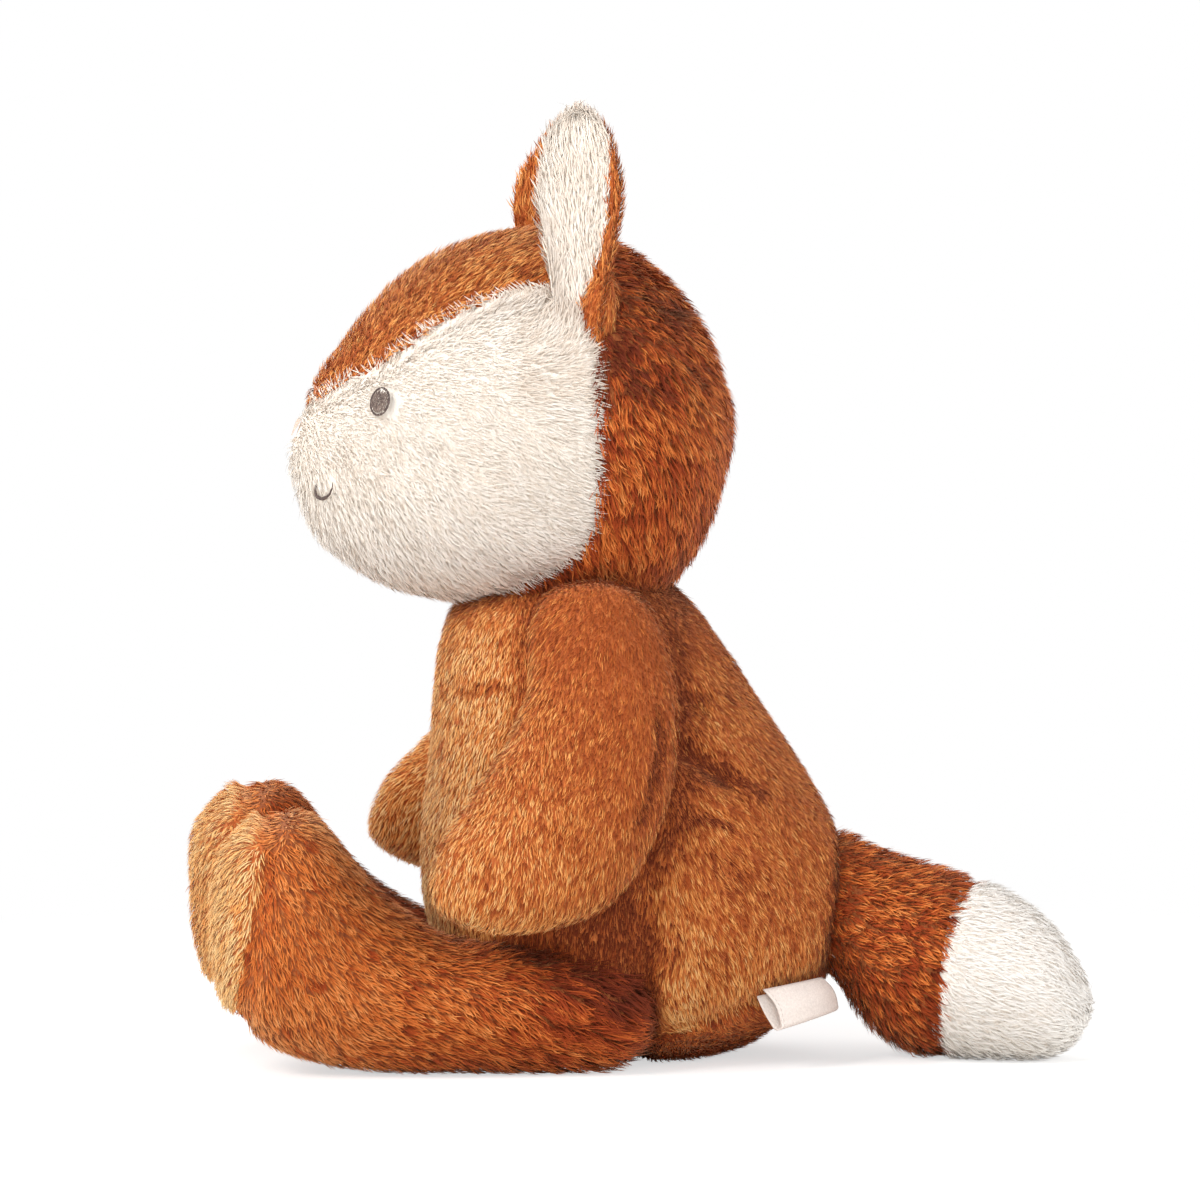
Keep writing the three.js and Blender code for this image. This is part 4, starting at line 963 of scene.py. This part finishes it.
def tufts(row, p, n, sink_and_shade, seed):
    """One bent, tapering strand a root, combed and drawn together in clumps."""
    name, style, tint = row.name, row.style, row.tint
    total, parts = len(p), style.parts
    own = np.random.default_rng(seed)
    direction = unit(row.comb(p, n)) + WIDE_SWAY * noise3(p, WIDE_PATCH, seed)
    direction = direction + SMALL_SWAY * noise3(p, SMALL_PATCH, seed + 3)
    d = tangent(direction + style.stray * own.normal(size=(total, 3)), n)
    length = style.length * (0.78 + 0.44 * own.random(total)) * (1 + 0.12 * noise(p, 7, seed + 9))
    # the thighs' pile ends in spiky tufts, and the feet are combed smooth
    is_leg = "_leg_" in name
    spiky = smooth(p[:, 1], *SPIKY) if is_leg else np.zeros(total)
    rough = 0.6 + 0.4 * smooth(p[:, 1], *ROUGH) if is_leg else np.ones(total)
    feet = smooth(-p[:, 1], *SMOOTH_FEET) * is_leg
    length = length * (1 + 0.5 * spiky - 0.22 * feet)
    # the strand bends from its tilt at the root to that at the tip
    a, b = style.lift
    wobble = own.normal(size=total) * WOBBLE
    points = [p - ROOT_SINK * n]
    for k in range(parts):
        tilt = np.minimum(a + (b - a) * k / (parts - 1) + 12 * feet, MOST_TILT)
        angle = np.radians(tilt + wobble)
        step = (np.cos(angle)[:, None] * n + np.sin(angle)[:, None] * d) * (length / parts)[:, None]
        points.append(points[-1] + step)
    # and leans towards the middle of its clump
    centre, number = clump(p, style.clump, seed + 40, style.squeeze)
    if is_leg:
        wide, other = clump(p, SPIKY_CLUMP, seed + 44)
        shaggy = spiky > 0.45 + 0.3 * noise(p, 9, seed + 47)
        centre = np.where(shaggy[:, None], wide, centre)
        number = np.where(shaggy, other, number)
    pull = centre - p
    pull = pull - n * np.sum(pull * n, 1, keepdims=True)
    reach = 0.6 * style.clump * (1 + 0.6 * spiky) / style.squeeze ** 0.5
    off = np.clip(np.linalg.norm(pull, axis=1) / reach, 0, 1.4)
    for k in range(1, parts + 1):
        share = style.pull * (1 + 0.45 * spiky) * (k / parts) ** 1.8
        points[k] = points[k] + pull * share[:, None]
        points[k][:, 2] = np.maximum(points[k][:, 2], TIP_FLOOR)
    # flat, tapering strips turned by chance
    roll = np.radians(own.normal(size=total) * ROLL)
    side = np.cos(roll)[:, None] * np.cross(n, d) + np.sin(roll)[:, None] * n
    width = style.width * (0.8 + 0.4 * own.random(total))[:, None]
    verts = 2 * parts + 1
    co = np.empty((total, verts, 3))
    for k in range(parts):
        half = side * width * (0.5 if k < parts - 1 else 0.42 if parts == 2 else 0.36)
        co[:, 2 * k], co[:, 2 * k + 1] = points[k] - half, points[k] + half
    co[:, -1] = points[-1]
    facing = np.sum(np.cross(co[:, 1] - co[:, 0], co[:, 2] - co[:, 0]) * n, 1)
    local = np.where((facing > 0)[:, None], *strand_faces(parts))
    loops = local + verts * np.arange(total)[:, None]
    totals = np.tile([4] * (parts - 1) + [3], total)
    # the strand's shade: random tone by strand, clump and place; painted shade at clump edges, in
    # partings and to the rear
    shade = (tint.shade + tint.drift * noise(p, 18, seed + 60)
             + rough * (tint.spread * np.minimum(own.normal(size=total), 0.9)
                        + tint.clumps * (number - 0.5) * 2 - tint.edge * (off - 0.5))
             - PARTING_DARKNESS * (number < tint.flecks)
             - tint.rear * smooth(p[:, 1], *(ARM_REAR_SHADE_SPAN if "arm" in name else REAR_SHADE_SPAN)))
    # painted rim light where the pile turns edge-on to a side view
    rim = np.clip(1 - np.abs(n[:, 0]) * 1.25, 0, 1)
    shade = shade + painted_light_and_shade(name, p, rim, feet)
    # creases, neighbours' shadows and shadow lines darken the pile: painted shade
    shade = np.clip(shade, DARKEST, PALEST) - PAINTED_SHADE_SCALE * np.clip(sink_and_shade, -1, 8)
    shade = np.clip(shade, 0.02, PALEST)
    u = np.stack([shade - HALF_STEP, shade + HALF_STEP] * parts + [shade], 1)
    v = np.tile(np.repeat(np.arange(parts + 1) / parts, 2)[:-1] * 0.96 + 0.02, (total, 1))
    uv = np.stack([np.take_along_axis(u, local, 1), np.take_along_axis(v, local, 1)], -1)
    flat = np.cross(d, side)
    flat = unit(flat * np.sign(np.sum(flat * n, 1))[:, None])
    normals = np.repeat(unit(0.7 * n + 0.2 * flat + 0.1 * d)[:, None, :], verts, 1)
    return new_mesh(name + "_pile", co.reshape(-1, 3), loops.ravel(), totals,
                    [MATS[tint.kind + "_pile"]], None, uv.reshape(-1, 2), normals.reshape(-1, 3))


# The eyes, the nose and the mouth lie in parted pile: half axes of the bare places.
EYE_TILT, EYE_BARE, EYE_REACH = 20, (3.5, 4.0), 8
NOSE_BARE, NOSE_FRONT, MOUTH_BARE = (2.6, 2.0), -70, 1.0


def face_point(x, z):
    """The face's skin seen from the front: its place and normal."""
    spot, normal, _, _ = skins["head"].ray_cast(Vector((x, -200, z)), Vector((0, 1, 0)))
    return np.array(spot), np.array(normal)


def eye_frame(sign):
    """An eye's middle, and the directions right, up and out of it."""
    spot, normal = face_point(sign * EYE_X, EYE_Z)
    right = unit(np.cross([0, 0, 1.0], normal))
    up = np.cross(normal, right)
    lean = math.radians(-EYE_TILT * sign)
    r = right * math.cos(lean) + up * math.sin(lean)
    return spot, r, np.cross(normal, r), normal


EYES = {side: eye_frame(sign) for side, sign in SIDES}
half = np.array([(x * MOUTH_W / 2, MOUTH_Z - z * MOUTH_T) for x, z in MOUTH_ROWS])
line = np.vstack([half[:0:-1] * [-1, 1], half])
travel = np.r_[0, np.cumsum(np.hypot(*np.diff(line, axis=0).T))]
fine = np.linspace(0, travel[-1], 181)
line = np.stack([np.interp(fine, travel, line[:, k]) for k in (0, 1)], 1)
line[3:-3] = np.mean([line[k:len(line) - 6 + k] for k in range(7)], axis=0)
# the mouth's middle lies deep in the pile, its two bends stand clear
MOUTH_SHOWN = smooth(np.abs(line[:, 0]), 9.0, 10.5)
spots, normals = (np.array(q) for q in zip(*(face_point(x, z) for x, z in line)))
mouth_line = spots + normals * (-0.4 + 2.4 * MOUTH_SHOWN)[:, None]
nose_z = face_point(0, NOSE_Z)[0][2]


def parted(p, tips):
    """True where a strand would cover the eyes, the nose or the mouth."""
    covered = np.zeros(len(p), bool)
    along = (p, (p + tips) / 2, tips)
    for q in along:
        for spot, r, up, normal in EYES.values():
            e = (((q - spot) @ r) / EYE_BARE[0]) ** 2 + (((q - spot) @ up) / EYE_BARE[1]) ** 2
            covered |= (e < 1) & (np.abs((q - spot) @ normal) < EYE_REACH)
        on_nose = (np.abs(q[:, 0]) < NOSE_BARE[0]) & (np.abs(q[:, 2] - nose_z) < NOSE_BARE[1])
        covered |= on_nose & (q[:, 1] < NOSE_FRONT)
    for q in along[1:]:
        for m in mouth_line[MOUTH_SHOWN > 0.3][::2]:
            covered |= np.linalg.norm(q - m, axis=1) < MOUTH_BARE
    return covered


NECK_HIDDEN = 26  # no pile grows on the head inside this radius round the neck
ARM_SHADE, HEAD_SHADE = 2.6, 0.6  # how strongly creases shade the arms, and neighbours the head
# How far a neighbour's shade reaches, where it fades, over what width, and how dark it is.
ARM_SHADOW, OTHER_SHADOW = (14, 5, 4, 4.6), (7, 2, 3.4, 3.2)
for index, (key, (form, panel, body_name, rows)) in enumerate(limbs.items()):
    dense = max(row.style.dense for row in rows)
    p, n, angle, sink_and_shade = sample(form, dense)
    keep = (p[:, 2] > FEW_BELOW) | (rng.random(len(p)) < FEW_SHARE)
    for other in NEIGHBOURS[key]:
        keep &= depth_in(other, p) < 1.0
    if key == "head":
        near_neck = np.hypot(p[:, 0], p[:, 1] + NECK_FORWARD) < NECK_HIDDEN
        keep &= ~((p[:, 2] < NECK_Z + 1) & near_neck)
    p, n, angle, sink_and_shade = p[keep], n[keep], angle[keep], sink_and_shade[keep]
    # painted shadow: skins beside the pile darken it where they come close, on top of the sinking
    for other in SHADED_BY.get(key, []):
        reach, start, width, depth = ARM_SHADOW if "arm" in other else OTHER_SHADOW
        gap = np.maximum(-depth_in(other, p, reach) - start, 0)
        sink_and_shade = sink_and_shade + depth * (HEAD_SHADE if key == "head" else 1) * bulge(gap, width)
    sink_and_shade = sink_and_shade + folds(p, PAINTED_SHADOW_LINES.get(key, []))
    if "arm" in key:
        sink_and_shade = sink_and_shade * ARM_SHADE
    which = panel(p, angle)
    for number, row in enumerate(rows):
        mine = which == number
        mine[mine] = rng.random(np.sum(mine)) < row.style.dense / dense
        q, m, low = p[mine], n[mine], sink_and_shade[mine]
        if "cheek" in row.name or row.name == "forehead":
            away = tangent(row.comb(q, m), m) * row.style.length * 0.8 + m * rise_of(row.style)
            free = ~parted(q, q + away)
            q, m, low = q[free], m[free], low[free]
        piece = tufts(row, q, m, low, 100 * index + 7 * number + 5)
        dress(piece, body_name, SLOTS[row.tint.kind], row.node)


# ---------------------------------------------------------------- embroidery
THREAD_SIDES = 6
ASIDE = np.array([0.31, 0.55, 0.77])  # no thread runs along this direction
CAP = 0.18  # how far from their poles the rounded ends are cut, in radians


def capsules(name, lines, mat):
    """Short threads as tubes with closed, rounded ends; lines holds points and radii."""
    co, loops, totals, base = [], [], [], 0
    s = np.arange(THREAD_SIDES)
    t = (s + 1) % THREAD_SIDES
    cos, sin = (np.array([f(2 * math.pi * k / THREAD_SIDES) for k in s])[:, None]
                for f in (math.cos, math.sin))
    for line, r in lines:
        line = np.array(line, float)
        along = unit(np.gradient(line, axis=0))
        a = unit(np.cross(along, ASIDE))
        b = np.cross(along, a)
        shares = np.sin(np.linspace(CAP, math.pi - CAP, len(line))) ** 0.5
        ring = cos * a[:, None] + sin * b[:, None]
        co.append((line[:, None] + (r * shares)[:, None, None] * ring).reshape(-1, 3))
        start = base + THREAD_SIDES * np.arange(len(line))[:, None]
        low, high = start[:-1], start[1:]
        loops += [np.stack([low + s, low + t, high + t, high + s], -1).ravel(),
                  (base + s)[::-1], start[-1] + s]
        totals += [4] * (THREAD_SIDES * (len(line) - 1)) + [THREAD_SIDES] * 2
        base += THREAD_SIDES * len(line)
    return new_mesh(name, np.vstack(co), np.concatenate(loops), totals, [MATS[mat]])


def eye_threads(place, seed):
    """The dark ring round an eye, and its fill of curls and slanting stitches."""
    spot, r, up, normal = place
    own = np.random.default_rng(seed)

    def at(x, y, h):
        dome = 0.5 * (1 - (x / 3.4) ** 2 - (y / 3.9) ** 2)
        return spot + r * x + up * y + normal * (2.0 + dome + h)

    def arc(x, y, rx, ry, start, sweep, count, h):
        return [at(x + rx * math.cos(start + a), y + ry * math.sin(start + a), h)
                for a in np.linspace(0, sweep, count)]
    ring, fill, around, across = [], [], 22, 30
    for rx, ry, size in ((3.0, 3.5, 0.2), (2.7, 3.2, 0.15)):
        for k in range(around):
            start = 2 * math.pi * (k + own.random() * 0.3) / around
            if own.random() >= 0.12:
                ring.append((arc(0, 0, rx, ry, start, 0.36, 5, 0.12), size))
    for k in range(across):
        x = -2.45 + 4.9 * (k + 0.5) / across
        reach = 3.0 * math.sqrt(max(0.0, 1 - (x / 2.6) ** 2))
        cuts = np.sort(np.r_[-reach, own.uniform(-reach, reach, 2), reach])
        for low, high in zip(cuts, cuts[1:]):
            if high - low >= 0.5:
                lean = 0.25 * own.normal()
                height = 0.05 + 0.12 * own.random()
                fill.append(([at(x + lean * s, low + (high - low) * s, height)
                              for s in np.linspace(0.04, 0.96, 5)], 0.14))
    for _ in range(26):
        x, y = own.uniform(-1.5, 1.5), own.uniform(-2.0, 2.0)
        start, size = own.uniform(0, 6.28), own.uniform(0.35, 0.7)
        ring.append((arc(x, y, size, size, start, 2.6, 6, 0.2), 0.09))
    return ring, fill


for side, sign in SIDES:
    ring, fill = eye_threads(EYES[side], 5 + sign)
    for name, lines, mat in (("ring", ring, "dark_thread"), ("fill", fill, "thread")):
        dress(capsules(f"{side}_eye_{name}", lines, mat), "head", "thread",
              side + "_eye_embroidery")

lines = []
for strand in range(3):
    shift = 0.2 * np.array([math.cos(2.1 * strand), 0, math.sin(2.1 * strand)])
    for k in range(2 * strand, len(mouth_line) - 10, 6):
        ends = min(1.0, (min(k, len(mouth_line) - 11 - k) + 6) / 34)
        size = (0.1 + 0.26 * MOUTH_SHOWN[k + 5]) * ends ** 0.5
        lines.append((mouth_line[k:k + 11:2] + shift * (0.4 + 0.6 * ends), size))
dress(capsules("mouth_stitches", lines, "dark_thread"), "head", "thread", "mouth_embroidery")

lines, count = [], 24
for k in range(count):
    share = (k + 0.5) / count
    reach = 2.8 * (1 - share) ** 0.8 + 0.3
    row_points = []
    for x in np.linspace(-reach, reach, 7):
        q, m = face_point(x, nose_z + 2.0 - 4 * share)
        row_points.append(q + m * (0.7 + 0.4 * (1 - (x / 3.8) ** 2)))
    lines.append((row_points, 0.16))
dress(capsules("nose_stitches", lines, "nose_thread"), "head", "thread", "nose_embroidery")


# ---------------------------------------------------------------- the folded ribbon
def seat_seam_point(turn):
    """Where the seat's seam lies at an angle round the body, found by halving."""
    above, below = 0.5, 1.0
    for _ in range(30):
        middle = (above + below) / 2
        up, low = (edge[0] for edge in body.edges(np.array([middle])))
        spot = (up + low) / 2 - (up - low) / 2 * math.cos(turn)
        spot[0] = up[0] * math.sin(turn)
        if spot[2] > seat_seam(spot[1]):
            above = middle
        else:
            below = middle
    return spot


def ribbon_path():
    """The loop's section, out and up, from the outer end round the fold to the inner end."""
    reach, drop, count = RIBBON_GAP / 2 + RIBBON_THICK / 2, RIBBON_L - RIBBON_GAP / 2, 12
    down = [(reach + 0.9 * math.sin(math.pi * k / count), 0.8 - (drop + 0.8) * k / count)
            for k in range(count)]
    turn = [(reach * math.cos(a), -drop - reach * math.sin(a)) for a in np.linspace(0, math.pi, 9)]
    back = [(-reach - 0.25 * math.sin(math.pi * k / count), -drop + drop * k / count)
            for k in range(1, count + 1)]
    return down + turn + back


def ribbon_grid(shares, path, proud=0.0):
    """The ribbon at shares of its width; proud moves it out on both sides."""
    lean = math.radians(RIBBON_LEAN)
    grid = []
    for share in shares:
        turn = math.radians(RIBBON_FROM + share * (RIBBON_TO - RIBBON_FROM))
        away = np.array([math.sin(turn), math.cos(turn), 0])
        along = np.array([-math.cos(turn), math.sin(turn), 0])
        base = seat_seam_point(turn) + np.array([0, 0, 4.0 * share - 2.5])
        line = []
        for out, up in path:
            up = up * (0.84 + 0.16 * share)
            out = out + proud * (1 if out > 0 else -1)
            slide = -up / RIBBON_L * RIBBON_SKEW + 0.5 * out
            line.append(base + away * (RIBBON_GAP + out * math.cos(lean) - up * math.sin(lean))
                        + np.array([0, 0, up * math.cos(lean) + out * math.sin(lean)])
                        + along * slide)
        grid.append(line)
    return np.array(grid)


def thin_sheet(name, grid, thick, mat):
    """A closed thin sheet over a grid of points."""
    rows, cols = grid.shape[:2]
    n = unit(np.cross(np.gradient(grid, axis=0), np.gradient(grid, axis=1)))
    co = np.vstack([(grid + n * thick / 2).reshape(-1, 3), (grid - n * thick / 2).reshape(-1, 3)])
    at = np.arange(rows * cols).reshape(rows, cols)
    top = np.stack([at[:-1, :-1], at[1:, :-1], at[1:, 1:], at[:-1, 1:]], -1).reshape(-1, 4)
    rim = np.r_[at[0], at[1:, -1], at[-1, -2::-1], at[-2:0:-1, 0]]
    after = np.roll(rim, -1)
    edge = np.stack([rim, after, after + at.size, rim + at.size], 1)
    quads = np.vstack([top, top[:, ::-1] + at.size, edge])
    return new_mesh(name, co, quads.ravel(), np.full(len(quads), 4), [mat])


path = ribbon_path()
grid = ribbon_grid(np.linspace(0, 1, 41), path)
ribbon = thin_sheet("ribbon", grid, RIBBON_THICK, MATS["satin_weave"])
dress(ribbon, "body", "satin_ribbon", "ribbon_loop")
lines = []
for share in (0.03, 0.97):
    edge = ribbon_grid([share], path, RIBBON_THICK / 2 + 0.05)[0]
    travel = np.r_[0, np.cumsum(np.linalg.norm(np.diff(edge, axis=0), axis=1))]
    for start in np.arange(0.6, travel[-1] - 1.2, 1.35):
        spots = start + np.linspace(0, 0.8, 4)
        lines.append((np.stack([np.interp(spots, travel, edge[:, k]) for k in range(3)], 1), 0.11))
stitches = dress(capsules("ribbon_stitches", lines, "pale_thread"), "body", "satin_ribbon",
                 "ribbon_loop")

# ---------------------------------------------------------------- camera, lights, floor (metres)
scene = bpy.context.scene
scene.view_settings.view_transform = "Standard"


def aimed(name, data, place, direction):
    """Puts a lamp or the camera at a place, looking in a direction."""
    piece = bpy.data.objects.new(name, data)
    piece.location = place
    piece.rotation_euler = direction.to_track_quat("-Z", "Y").to_euler()
    scene.collection.objects.link(piece)
    return piece


def lamp(name, place, size, power, look=(0, 0, 0.1), color=(1, 1, 1)):
    data = bpy.data.lights.new(name, "AREA")
    data.shape, data.size, data.energy, data.color = "DISK", size, power, color
    aimed(name, data, place, Vector(look) - Vector(place))


target = Vector((0, -0.010, 0.11425))
azimuth, elevation, distance = math.radians(85), math.radians(4), 2.0
towards = Vector((math.sin(azimuth) * math.cos(elevation),
                  -math.cos(azimuth) * math.cos(elevation), math.sin(elevation)))
camera = aimed("camera", bpy.data.cameras.new("camera"), target + towards * distance, -towards)
camera.data.lens, camera.data.sensor_width = 240, 36
camera.data.clip_end = 50
scene.camera = camera
lamp("key", (1.0, -1.2, 1.2), 0.9, 27, color=(1, 0.98, 0.95))
lamp("fill", (1.7, 0.3, 0.5), 1.2, 6)
lamp("low", (1.3, -1.0, 0.12), 0.8, 3.4, color=(1, 0.97, 0.93))
lamp("far", (-1.2, -0.4, 1.1), 1.0, 9)
lamp("back", (0.5, 1.5, 0.7), 0.8, 9, look=(0, 0.06, 0.06))

# the camera sees white where the light comes from a dimmer, warmer sky
world = Nodes(bpy.data.worlds.new("studio"), "ShaderNodeOutputWorld")
light = world.add("ShaderNodeBackground", Color=(1.0, 0.985, 0.965, 1), Strength=0.55)
white = world.add("ShaderNodeBackground", Color=(1, 1, 1, 1), Strength=1.0)
seen = world.add("ShaderNodeLightPath").outputs["Is Camera Ray"]
scene.world = world.end(world.add(
    "ShaderNodeMixShader", {0: seen, 1: light.outputs[0], 2: white.outputs[0]}))

m = new_material("floor")
ground = m.add("ShaderNodeBsdfDiffuse", Color=(0.9, 0.88, 0.84, 1))
shadowed = m.add("ShaderNodeBsdfDiffuse", Color=(0.5, 0.5, 0.5, 1))
glow = m.add("ShaderNodeEmission", Strength=0.62)
both = m.add("ShaderNodeAddShader", {0: shadowed.outputs[0], 1: glow.outputs[0]})
# away from the toy the floor turns into the white of the backdrop
place = m.add("ShaderNodeTexCoord").outputs["Object"]
away = m.add("ShaderNodeVectorMath", {0: place}, operation="LENGTH").outputs["Value"]
fade = m.add("ShaderNodeMapRange", {0: away, 1: 0.2, 2: 0.36, 3: 0.0, 4: 1.0},
             interpolation_type="SMOOTHSTEP")
white = m.add("ShaderNodeEmission", Strength=1.0)
faded = m.add("ShaderNodeMixShader", {0: fade.outputs[0], 1: both.outputs[0], 2: white.outputs[0]})
seen = m.add("ShaderNodeLightPath").outputs["Is Camera Ray"]
m.end(m.add("ShaderNodeMixShader", {0: seen, 1: ground.outputs[0], 2: faded.outputs[0]}))
floor = new_mesh("floor", 3000 * np.array([[-1, -1, 0], [1, -1, 0], [1, 1, 0], [-1, 1, 0]]),
                 np.arange(4), [4], [m.block])
